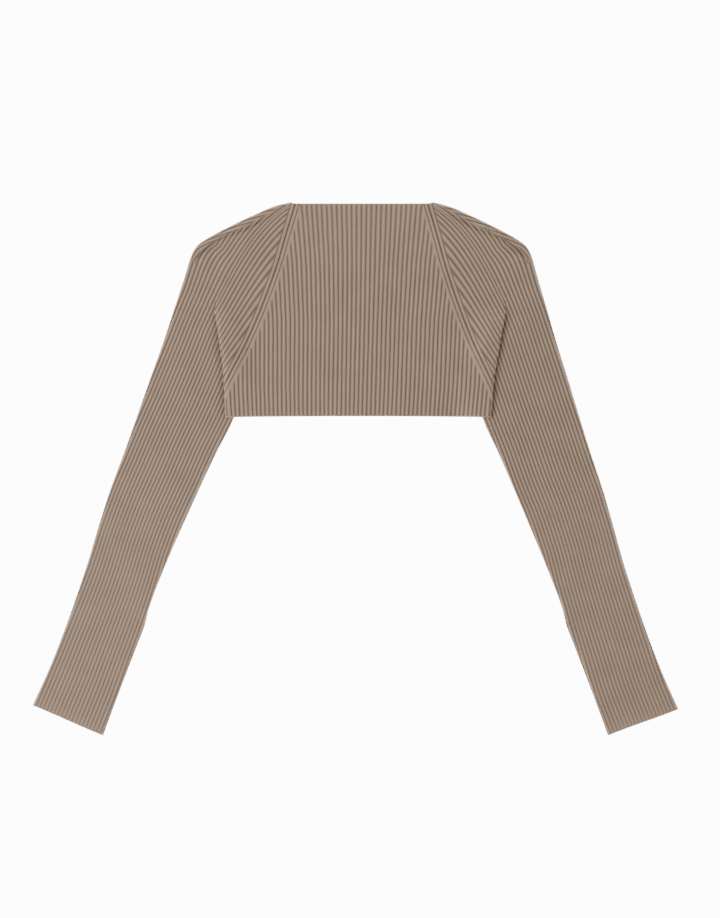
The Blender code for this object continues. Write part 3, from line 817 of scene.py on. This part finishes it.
def local_pitch(place, rib):
    """The distance between the ribs at every place of a net, square to their run."""
    across = np.gradient(place, rib, axis=1)
    down = np.gradient(place, axis=0)
    down = down / np.maximum(np.linalg.norm(down, axis=-1, keepdims=True), 1e-6)
    return np.abs(cross(across, down))


ARM_START = OUTER_PATH.at(CROTCH_RUN)
ARM_START_PITCH = float(np.linalg.norm(CROTCH - ARM_START)) / CROTCH_RIB
DRIFT_PATHS = {
    -1: Path([(row.left_drift, row.outer_depth) for row in ARM_RIBS]),
    1: Path([(row.right_drift, row.outer_depth) for row in ARM_RIBS]),
}


def arm_ribs(side, outer_depth):
    """The rib that lies on the outer fold at depths of the fold, and the ribs' spacing there."""
    depths = [row.outer_depth for row in ARM_RIBS]
    pitch = np.interp(outer_depth, depths, [ARM_START_PITCH] + [row.pitch for row in ARM_RIBS[1:]])
    drift = DRIFT_PATHS[side].half_at(outer_depth)
    return DRIFT_PLACE / ARM_START_PITCH + drift / ARM_PITCH - DRIFT_PLACE / pitch, pitch


def arm_rows():
    """The lengths along the outer fold at which the arm's straight rows start."""
    total = OUTER_PATH.length - CROTCH_RUN
    kink = OUTER_PATH.run_at_depth(KINK_OUTER_DEPTH) - CROTCH_RUN
    upper = np.linspace(ARM_CLOSE_ROWS[-1], kink - KINK_REACH - KINK_STEP, UPPER_ARM_ROWS)[1:]
    at_kink = np.arange(kink - KINK_REACH, kink + KINK_REACH + 1.0, KINK_STEP)
    lower = np.linspace(at_kink[-1], total - ARM_LAST_ROWS[0], LOWER_ARM_ROWS)[1:-1]
    last = total - np.array(ARM_LAST_ROWS)
    return np.concatenate([ARM_FIRST_ROWS, ARM_CLOSE_ROWS, upper, at_kink, lower, last])


def arm_lines(run):
    """The arm's straight rows: their starts on the outer fold, directions and widths."""
    start = OUTER_PATH.at(run + CROTCH_RUN)
    first_lean = CROTCH - ARM_START
    last_lean = INNER_PATH.points[-1] - OUTER_PATH.points[-1]
    angles = np.arctan2([first_lean[1], last_lean[1]], [-first_lean[0], -last_lean[0]])
    angle = np.interp(run, [0.0, run[-1]], angles)
    inward = np.stack([-np.cos(angle), np.sin(angle)], axis=-1)
    past_cuff = INNER_PATH.at(INNER_PATH.length + CUFF_OVERRUN)
    edge = np.vstack([HIDDEN_PATH.samples, INNER_PATH.samples[1:], past_cuff])
    width = np.empty_like(run)
    for row, (place, lean) in enumerate(zip(start, inward)):
        reach = edge - place
        width[row] = np.interp(0.0, cross(reach, lean), reach @ lean)
    width[0], width[-1] = np.linalg.norm(first_lean), np.linalg.norm(last_lean)
    return start, inward, width


def arm_net(side, layer):
    """One layer of the arm, from the outer fold to the inner edge: layer is 1 in front, -1 behind.

    Its columns follow the ribs, which run over the fold from one layer into the other.
    """
    run = arm_rows()
    start, inward, width = arm_lines(run)
    at_fold, pitch = arm_ribs(side, start[:, 1])
    most = math.ceil(float((width / pitch + layer * at_fold).max()))
    ribs = rib_columns(0.0 if layer > 0 else -math.ceil(at_fold.max()), most)
    across = (ribs - layer * at_fold[:, None]) * pitch[:, None]
    fold_border = ARM_START_PITCH * np.array((0.0,) + FOLD_STEPS)
    margin = ARM_EDGE_MARGIN * smooth(run / CROTCH_LENGTH)
    across = np.clip(across, fold_border[-1], (width - margin)[:, None])
    inner_border = width[:, None] - margin[:, None] * np.array(ARM_EDGE_STEPS)
    fold_border = np.broadcast_to(fold_border, (len(run), len(fold_border)))
    across = np.hstack([fold_border, across, inner_border])
    place = start[:, None] + inward[:, None] * across[..., None]
    at_crotch = across[0] >= width[0] - 1e-9
    place[0, at_crotch] = CROTCH
    slant = np.abs(cross(inward, OUTER_PATH.direction(run + CROTCH_RUN)))
    inner_distance = np.where(run[:, None] > CROTCH_LENGTH, width[:, None] - across,
                              side_distance(place, HIDDEN_PATH))
    distance = np.minimum(across * slant[:, None], inner_distance)
    distance[:, 0] = 0.0
    distance[:, -1] = 0.0
    distance[0, at_crotch] = 0.0
    rib = at_fold[:, None] + layer * across / pitch[:, None]
    return Net(place, rib, np.broadcast_to(run[:, None], rib.shape), distance)


def add_front_layer(cloth, side, net, base, relief, groove, shade):
    """Adds the front layer of a stretch of sleeve, rounded down at its closed folds."""
    top = FRONT_VALLEY + relief - MID_HEIGHT
    height = base + MID_HEIGHT + top * edge_curve(net.edge)
    half, depth = net.place[..., 0], net.place[..., 1]
    sheet = Sheet(half, depth, height, net.rib, net.run, groove, shade)
    add_sheet(cloth, side, sheet, face_up=True)


def add_back_layer(cloth, side, net, base):
    """Adds the back layer of a stretch of sleeve, which meets the front at its closed folds."""
    under = bpy.context.scene.shrug_knit.back_groove * (1.0 - rib_wave(net.rib))
    height = base + MID_HEIGHT - (MID_HEIGHT - under) * edge_curve(net.edge)
    half, depth = net.place[..., 0], net.place[..., 1]
    add_sheet(cloth, side, Sheet(half, depth, height, net.rib, net.run, 1.0), face_up=False)


def sleeve(side):
    """One sleeve: its edge rib along the seam, its yoke and its arm, front and back."""
    cloth = new_cloth()
    add_yoke(cloth, side)
    add_arm(cloth, side)
    return cloth


def add_yoke(cloth, side):
    """Adds the sleeve from the raglan seam to the crotch and the side fold."""
    height = bpy.context.scene.shrug_knit.rib_height
    ribs = sleeve_ribs(YOKE_RIBS)
    yoke = yoke_net(ribs)
    net = yoke.net
    phase = SLEEVE_PHASE + side
    room = smooth((local_pitch(net.place, ribs) - PACKED_PITCH) / (OPEN_PITCH - PACKED_PITCH))
    spread = PACKED_RELIEF + (1.0 - PACKED_RELIEF) * room
    from_seam = smooth(yoke.down / YOKE_BEGIN_LENGTH)
    relief = rib_wave(net.rib) * spread * from_seam * rib_evenness(net.rib, net.run, phase)
    strip_rib = yoke.strip_rib + STRIP_PHASE[side]
    relief += yoke.strip * (STRIP_RELIEF * rib_wave(strip_rib) - relief)
    # How strongly the grooves get painted shade; the strip's grooves get it in full.
    groove = spread * (0.5 + 0.5 * from_seam)
    groove += yoke.strip * (1.0 - groove)
    half, depth = net.place[..., 0], net.place[..., 1]
    base = base_height(half, depth)
    sunk = crease_fall(half, depth, SHOULDER_CREASES)
    lift = puff_rise(half, depth) + side_swell(half, depth) - sunk
    # Painted shade in the creases and in the groove beside the edge rib along the seam.
    beside_seam_rib = (1.0 - smooth(yoke.down / YOKE_SHADE_LENGTH)) * (1.0 - yoke.strip)
    shade = np.maximum(CREASE_SHADE * sunk, EDGE_GROOVE_SHADE * beside_seam_rib)
    add_back_layer(cloth, side, net, base)
    shown = net._replace(rib=np.where(yoke.strip > 0.5, strip_rib, net.rib))
    add_front_layer(cloth, side, shown, base, height * relief + lift, groove, shade)
    add_seam_rib(cloth, side, net.place[0], yoke.foot, net.edge[0], lift[0])


def add_arm(cloth, side):
    """Adds the arm from the crotch to the cuff, whose back layer peeps out below the kink."""
    height = bpy.context.scene.shrug_knit.rib_height
    net = arm_net(side, 1)
    half, depth = net.place[..., 0], net.place[..., 1]
    to_cuff = net.run[-1, 0] - net.run
    at_cuff = smooth((to_cuff - EDGE_FINISH) / FINISH_FADE)
    opened = 1.0 - ARM_EASE * smooth((net.run - ARM_EASE_START) / ARM_EASE_LENGTH)
    opened = opened * (1.0 - CUFF_EASE * (1.0 - smooth(to_cuff / CUFF_EASE_LENGTH)))
    evenness = rib_evenness(net.rib, net.run, SLEEVE_PHASE + side)
    relief = rib_wave(net.rib) * at_cuff * opened * evenness
    inner = (half < OUTER_PATH.half_at(depth) - INNER_SIDE) & (depth > KINK_DEPTH)
    inner = inner & (net.edge < PEEP_WIDTH)
    relief = np.where(inner, relief * PEEP_RELIEF, relief)
    peep = np.where(inner, PEEP_DROP * smooth((depth - KINK_DEPTH) / PEEP_LENGTH), 0.0)
    sunk = crease_fall(half, depth, SHOULDER_CREASES + KINK_CREASES)
    lift = puff_rise(half, depth) - sunk - peep + FINISH_RELIEF * (1.0 - at_cuff)
    # Painted shade in the creases, and painted shadow beside the body lying on the arm.
    shade = np.maximum(CREASE_SHADE * sunk, underarm_shade(half, depth))
    flat = np.zeros_like(half)
    # The grooves' painted shade eases off with the relief.
    add_front_layer(cloth, side, net, flat, height * relief + lift, at_cuff * opened, shade)
    behind = arm_net(side, -1)
    add_back_layer(cloth, side, behind, np.zeros_like(behind.edge))


def add_seam_rib(cloth, side, outer, foot, outer_edge, outer_lift):
    """Adds the sleeve's raised rib along the raglan, from the seam to the yoke, front and back."""
    below = np.linspace(foot[-1], RAGLAN_PATH.length, UNDERARM_COLUMNS)[1:]
    feet = np.concatenate([foot, below])
    outer = np.vstack([outer, beside_seam(below, np.full_like(below, EDGE_RIB))])
    outer_edge = np.concatenate([outer_edge, np.zeros_like(below)])
    seam = beside_seam(feet, np.zeros_like(feet))
    offset = EDGE_RIB * np.array(EDGE_RIB_SHARES)[:, None] + np.zeros_like(feet)
    share = (1.0 - offset / EDGE_RIB)[..., None]
    place = outer + (seam - outer) * share
    place[0] = outer
    limit = SIDE_PATH.half_at(place[..., 1])
    clipped = (place[..., 0] >= limit - ON_FOLD) & (place[..., 1] > CROTCH[1])
    half = np.where(clipped, limit, place[..., 0])
    half[0, :len(foot)] = place[0, :len(foot), 0]
    depth = place[..., 1]
    edge = np.minimum(outer_edge + (EDGE_RIB - offset), side_distance(place, SIDE_PATH))
    edge = np.where(clipped, 0.0, edge)
    edge[0] = outer_edge
    swell = side_swell(half, depth)
    lift_beside = np.concatenate([outer_lift, np.zeros_like(below)]) - swell[0]
    lift_beside[len(foot):] = 0.0
    lift = lift_beside * (1.0 - share[..., 0]) + swell
    relief = bpy.context.scene.shrug_knit.rib_height * edge_rib_wave(offset) + lift
    base = base_height(half, depth)
    run = np.broadcast_to(feet, offset.shape)
    net = Net(np.stack([half, depth], axis=-1), offset / EDGE_RIB, run, edge)
    # The edge rib gets painted shade in its grooves and at the seam.
    add_front_layer(cloth, side, net, base, relief, 1.0, edge_rib_shade(offset))
    add_back_layer(cloth, side, net, base)


# ---------------------------------------------------------------- the knit finish and its painted shade

# Where across half a rib the painted shade in the groove sets in and is full, and how far a
# stitch slants there.
GROOVE_FROM = 0.2
GROOVE_TO = 0.92
STITCH_SLANT = 0.55

# The yarn's patches and fibres: noise scales, and how much each varies the colour and the relief.
BROAD_SCALE = 34.0
FINE_SCALE = 900.0
BROAD_TONE = 0.22
FINE_TONE = 0.3
STITCH_TONE = 0.045
FINE_RELIEF = 0.35
STITCH_RELIEF = 0.12
NAP_DEPTH = 0.4

KNIT_SURFACE = {
    "Roughness": 0.92,
    "Specular IOR Level": 0.2,
    "Sheen Weight": 0.3,
    "Sheen Roughness": 0.5,
}


class ShaderGraph:
    """Adds nodes to a material and links them up."""

    def __init__(self, material):
        material.use_nodes = True
        self.nodes = material.node_tree.nodes
        self.links = material.node_tree.links
        self.shader = self.nodes["Principled BSDF"]

    def feed(self, value, socket):
        """Sets a socket to a number or links an output to it."""
        if isinstance(value, (int, float)):
            socket.default_value = value
        else:
            self.links.new(value, socket)

    def math(self, operation, *values):
        """The result of an operation on one or two values."""
        node = self.nodes.new("ShaderNodeMath")
        node.operation = operation
        for value, socket in zip(values, node.inputs):
            self.feed(value, socket)
        return node.outputs[0]

    def ease(self, value, low, high):
        """Eases from 0 to 1 between two values."""
        node = self.nodes.new("ShaderNodeMapRange")
        node.interpolation_type = "SMOOTHSTEP"
        node.inputs["From Min"].default_value = low
        node.inputs["From Max"].default_value = high
        self.feed(value, node.inputs["Value"])
        return node.outputs["Result"]

    def noise(self, place, scale, detail):
        """Soft noise between 0 and 1."""
        node = self.nodes.new("ShaderNodeTexNoise")
        node.inputs["Scale"].default_value = scale
        node.inputs["Detail"].default_value = detail
        self.feed(place, node.inputs["Vector"])
        return node.outputs["Fac"]

    def blend(self, factor, first, second):
        """A mix of two plain colours."""
        node = self.nodes.new("ShaderNodeMix")
        node.data_type = "RGBA"
        sockets = {socket.identifier: socket for socket in node.inputs}
        self.feed(factor, sockets["Factor_Float"])
        sockets["A_Color"].default_value = tuple(first) + (1.0,)
        sockets["B_Color"].default_value = tuple(second) + (1.0,)
        return next(item for item in node.outputs if item.identifier == "Result_Color")

    def attribute(self, name):
        """The value that the mesh holds under a name."""
        node = self.nodes.new("ShaderNodeAttribute")
        node.attribute_name = name
        return node.outputs["Fac"]

    def scaled(self, colour, factor):
        """A colour made lighter or darker."""
        node = self.nodes.new("ShaderNodeVectorMath")
        node.operation = "SCALE"
        self.feed(colour, node.inputs[0])
        self.feed(factor, node.inputs["Scale"])
        return node.outputs["Vector"]


def knit_material():
    """The rib knit: light crests, painted groove shade, small slanting stitches and a soft nap."""
    name = "rib_knit_with_painted_shade"
    if name in bpy.data.materials:
        return bpy.data.materials[name]
    look = bpy.context.scene.shrug_knit
    material = bpy.data.materials.new(name)
    graph = ShaderGraph(material)

    knit = graph.nodes.new("ShaderNodeUVMap")
    knit.uv_map = "knit"
    split = graph.nodes.new("ShaderNodeSeparateXYZ")
    graph.feed(knit.outputs["UV"], split.inputs["Vector"])
    across = graph.math("FRACT", split.outputs["X"])
    from_middle = graph.math("ABSOLUTE", graph.math("SUBTRACT", across, 0.5))
    from_crest = graph.math("MULTIPLY", from_middle, 2.0)
    slant = graph.math("MULTIPLY", from_crest, STITCH_SLANT)
    slanted = graph.math("ADD", split.outputs["Y"], slant)
    stitch = graph.math("SINE", graph.math("MULTIPLY", slanted, math.tau))
    place = graph.nodes.new("ShaderNodeTexCoord").outputs["Object"]
    broad = graph.noise(place, BROAD_SCALE, 2.0)
    fine = graph.noise(place, FINE_SCALE, 3.0)

    # Painted shade in the grooves: their colour is blended towards the darker groove shade colour.
    painted_groove_shade = graph.ease(from_crest, GROOVE_FROM, GROOVE_TO)
    painted_groove_shade = graph.math("MULTIPLY", painted_groove_shade, graph.attribute("groove"))
    tone = graph.blend(painted_groove_shade, look.crest_colour, look.groove_shade_colour)
    patches = graph.math("MULTIPLY", graph.math("SUBTRACT", broad, 0.5), BROAD_TONE)
    light = graph.math("ADD", patches, 1.0)
    fibres = graph.math("MULTIPLY", graph.math("SUBTRACT", fine, 0.5), FINE_TONE)
    light = graph.math("ADD", light, fibres)
    light = graph.math("ADD", light, graph.math("MULTIPLY", stitch, STITCH_TONE))
    # Painted shade: the shade attribute darkens the colour at the seams, in the creases and on the
    # arm beside the body.
    light = graph.math("MULTIPLY", light, graph.math("SUBTRACT", 1.0, graph.attribute("shade")))
    graph.feed(graph.scaled(tone, light), graph.shader.inputs["Base Color"])

    bump = graph.nodes.new("ShaderNodeBump")
    bump.inputs["Strength"].default_value = 1.0
    bump.inputs["Distance"].default_value = NAP_DEPTH * MM
    stitch_height = graph.math("MULTIPLY", stitch, STITCH_RELIEF)
    height = graph.math("ADD", stitch_height, graph.math("MULTIPLY", fine, FINE_RELIEF))
    graph.feed(height, bump.inputs["Height"])
    graph.feed(bump.outputs["Normal"], graph.shader.inputs["Normal"])
    for socket, value in KNIT_SURFACE.items():
        graph.shader.inputs[socket].default_value = value
    return material


# ---------------------------------------------------------------- settings

class ShrugKnit(bpy.types.PropertyGroup):
    """The knit's relief, its crest colour and the colour of the painted shade in its grooves."""

    rib_height: bpy.props.FloatProperty(
        name="Rib height", description="Height of a rib over its grooves, in millimetres",
        default=1.1, min=0.0, max=2.0)
    back_groove: bpy.props.FloatProperty(
        name="Back groove", description="Depth of the grooves underneath, in millimetres",
        default=0.6, min=0.0, max=1.0)
    crest_colour: bpy.props.FloatVectorProperty(
        name="Crest colour", description="Colour of the yarn on the ribs' crests",
        subtype="COLOR", default=(0.425, 0.306, 0.224), min=0.0, max=1.0)
    # Painted shade: the darker colour given to the yarn in the grooves.
    groove_shade_colour: bpy.props.FloatVectorProperty(
        name="Groove colour", description="Colour of the shaded yarn in the grooves",
        subtype="COLOR", default=(0.178, 0.123, 0.084), min=0.0, max=1.0)


class ShrugStudio(bpy.types.PropertyGroup):
    """The floor, the light and the camera."""

    floor_colour: bpy.props.FloatVectorProperty(
        name="Floor colour", description="Colour of the pale floor", subtype="COLOR",
        default=(0.93, 0.93, 0.93), min=0.0, max=1.0)
    floor_glow: bpy.props.FloatProperty(
        name="Floor glow", description="Light that the floor gives by itself", default=11.5,
        min=0.0)
    world_light: bpy.props.FloatProperty(
        name="World light", description="Strength of the even light all round", default=0.55,
        min=0.0)
    key_power: bpy.props.FloatProperty(
        name="Key power", description="Power of the large soft lamp", default=84.0, min=0.0,
        unit="POWER")
    camera_height: bpy.props.FloatProperty(
        name="Camera height", description="Height of the camera over the floor", default=6.0,
        unit="LENGTH")
    view_height: bpy.props.FloatProperty(
        name="View height", description="Height of the picture on the floor", default=1.2393,
        unit="LENGTH")


# ---------------------------------------------------------------- operators

class SHRUG_OT_front_panel(bpy.types.Operator):
    """Makes the ribbed front, from the straight neck edge to the hem"""

    bl_idname = "shrug.front_panel"
    bl_label = "Front panel"

    EDGE_HEIGHT = 1.95
    PHASE = 0.3
    CUT = (0.40, 0.286)
    CUT_AREA = 0.0828

    def execute(self, context):
        knit = context.scene.shrug_knit
        cloth = new_cloth()
        for side in (-1, 1):
            for part in (panel_main(self.PHASE + side, PANEL_MIDDLE_ROWS), panel_edge_rib()):
                relief = knit.rib_height * part.relief + FINISH_RELIEF * part.finish
                height = self.height(part.half, part.depth, relief, part.edge)
                sheet = Sheet(part.half, part.depth, height, part.rib, part.run, part.groove,
                              part.shade)
                add_sheet(cloth, side, sheet, face_up=True)
        piece = finish_cloth("front_panel_knit", cloth, "front_panel")
        return {"FINISHED"}

    def height(self, half, depth, relief, edge):
        """The front's height, rounded down where its side folds towards the back."""
        top = FRONT_VALLEY + relief + side_swell(half, depth) - self.EDGE_HEIGHT
        return base_height(half, depth) + self.EDGE_HEIGHT + top * edge_curve(edge)


class SHRUG_OT_back_panel(bpy.types.Operator):
    """Makes the back, flat on the floor and a little shorter than the front"""

    bl_idname = "shrug.back_panel"
    bl_label = "Back panel"

    EDGE_HEIGHT = 1.85
    PHASE = 1.9
    MIDDLE_ROWS = 22
    CUT = (0.40, 0.282)
    CUT_AREA = 0.0813

    def execute(self, context):
        knit = context.scene.shrug_knit
        cloth = new_cloth()
        for side in (-1, 1):
            main = panel_main(self.PHASE + side, self.MIDDLE_ROWS, BACK_SHORTER)
            for part in (main, panel_edge_rib(BACK_SHORTER)):
                groove = knit.back_groove * (1.0 - np.minimum(part.relief, 1.0))
                height = self.height(part.half, part.depth, groove, part.edge)
                sheet = Sheet(part.half, part.depth, height, part.rib, part.run, part.groove)
                add_sheet(cloth, side, sheet, face_up=False)
        piece = finish_cloth("back_panel_knit", cloth, "back_panel")
        return {"FINISHED"}

    def height(self, half, depth, groove, edge):
        """The back's underside, rounded up where its side folds towards the front."""
        bottom = (self.EDGE_HEIGHT - groove) * edge_curve(edge)
        return base_height(half, depth) + self.EDGE_HEIGHT - bottom


class SHRUG_OT_sleeves(bpy.types.Operator):
    """Makes the two raglan sleeves, folded flat and down beside the body"""

    bl_idname = "shrug.sleeves"
    bl_label = "Sleeves"

    CUT = (0.30, 0.80)
    CUT_AREA = 0.176

    def execute(self, context):
        for name, side in (("left_sleeve", -1), ("right_sleeve", 1)):
            piece = finish_cloth(name + "_knit", sleeve(side), name)
        return {"FINISHED"}


class SHRUG_OT_studio(bpy.types.Operator):
    """Lays the pale floor and sets up the soft light and the camera straight above"""

    bl_idname = "shrug.studio"
    bl_label = "Studio"

    WHITE = (1.0, 1.0, 1.0, 1.0)
    FLOOR_SIZE = 6.0
    FLOOR_DROP = 0.0002
    FLOOR_ROUGHNESS = 0.9
    KEY_SIZE = 2.4
    KEY_PLACE = (-1.9, 0.3, 2.6)
    CAMERA_X = 0.00597
    CAMERA_Y = 0.0137
    SENSOR = 36.0

    def execute(self, context):
        studio = context.scene.shrug_studio
        self.floor(studio)
        self.light(context, studio)
        self.camera(context, studio)
        return {"FINISHED"}

    def floor(self, studio):
        """A plain pale plane just under the cloth."""
        plane = bmesh.new()
        bmesh.ops.create_grid(plane, x_segments=1, y_segments=1, size=self.FLOOR_SIZE / 2.0)
        for vert in plane.verts:
            vert.co.z = -self.FLOOR_DROP
        mesh = bpy.data.meshes.new("pale_floor")
        plane.to_mesh(mesh)
        plane.free()
        floor = bpy.data.objects.new("pale_floor", mesh)
        material = bpy.data.materials.new("pale_floor")
        material.use_nodes = True
        shader = material.node_tree.nodes["Principled BSDF"]
        shader.inputs["Base Color"].default_value = tuple(studio.floor_colour) + (1.0,)
        shader.inputs["Roughness"].default_value = self.FLOOR_ROUGHNESS
        shader.inputs["Emission Color"].default_value = self.WHITE
        shader.inputs["Emission Strength"].default_value = studio.floor_glow
        mesh.materials.append(material)
        bpy.context.scene.collection.objects.link(floor)

    def light(self, context, studio):
        """An even white world and one large soft lamp on the left."""
        world_light = bpy.data.worlds.new("studio")
        context.scene.world = world_light
        world_light.use_nodes = True
        sky = world_light.node_tree.nodes["Background"]
        sky.inputs["Color"].default_value = self.WHITE
        sky.inputs["Strength"].default_value = studio.world_light
        lamp = bpy.data.lights.new("key", "AREA")
        lamp.energy = studio.key_power
        lamp.size = self.KEY_SIZE
        key = bpy.data.objects.new("key", lamp)
        key.location = self.KEY_PLACE
        aim = (-key.location).to_track_quat("-Z", "Y")
        key.rotation_euler = aim.to_euler()
        context.scene.collection.objects.link(key)

    def camera(self, context, studio):
        """A long lens looking straight down."""
        lens = bpy.data.cameras.new("camera")
        lens.sensor_width = self.SENSOR
        lens.lens = self.SENSOR * studio.camera_height / studio.view_height
        camera = bpy.data.objects.new("camera", lens)
        camera.location = (self.CAMERA_X, self.CAMERA_Y, studio.camera_height)
        context.scene.collection.objects.link(camera)
        context.scene.camera = camera


class SHRUG_PT_panel(bpy.types.Panel):
    """Lists the garment's pieces and settings"""

    bl_idname = "SHRUG_PT_panel"
    bl_label = "Rib-knit shrug"
    bl_space_type = "VIEW_3D"
    bl_region_type = "UI"
    bl_category = "Shrug"

    def draw(self, context):
        layout = self.layout
        for group in (context.scene.shrug_knit, context.scene.shrug_studio):
            for name in group.__annotations__:
                layout.prop(group, name)
        for operator in OPERATORS:
            layout.operator(operator.bl_idname)


OPERATORS = (SHRUG_OT_front_panel, SHRUG_OT_back_panel, SHRUG_OT_sleeves, SHRUG_OT_studio)
CLASSES = (ShrugKnit, ShrugStudio) + OPERATORS + (SHRUG_PT_panel,)


def register():
    """Registers the settings, operators and panel."""
    for item in CLASSES:
        bpy.utils.register_class(item)
    bpy.types.Scene.shrug_knit = bpy.props.PointerProperty(type=ShrugKnit)
    bpy.types.Scene.shrug_studio = bpy.props.PointerProperty(type=ShrugStudio)


def unregister():
    """Removes them again."""
    del bpy.types.Scene.shrug_studio
    del bpy.types.Scene.shrug_knit
    for item in reversed(CLASSES):
        bpy.utils.unregister_class(item)


def write_sizes():
    """Updates the view layer."""
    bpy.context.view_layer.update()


def main():
    """Builds the garment's pieces, then the studio."""
    register()
    bpy.ops.shrug.front_panel()
    bpy.ops.shrug.back_panel()
    bpy.ops.shrug.sleeves()
    bpy.ops.shrug.studio()
    write_sizes()


if __name__ == "__main__":
    main()
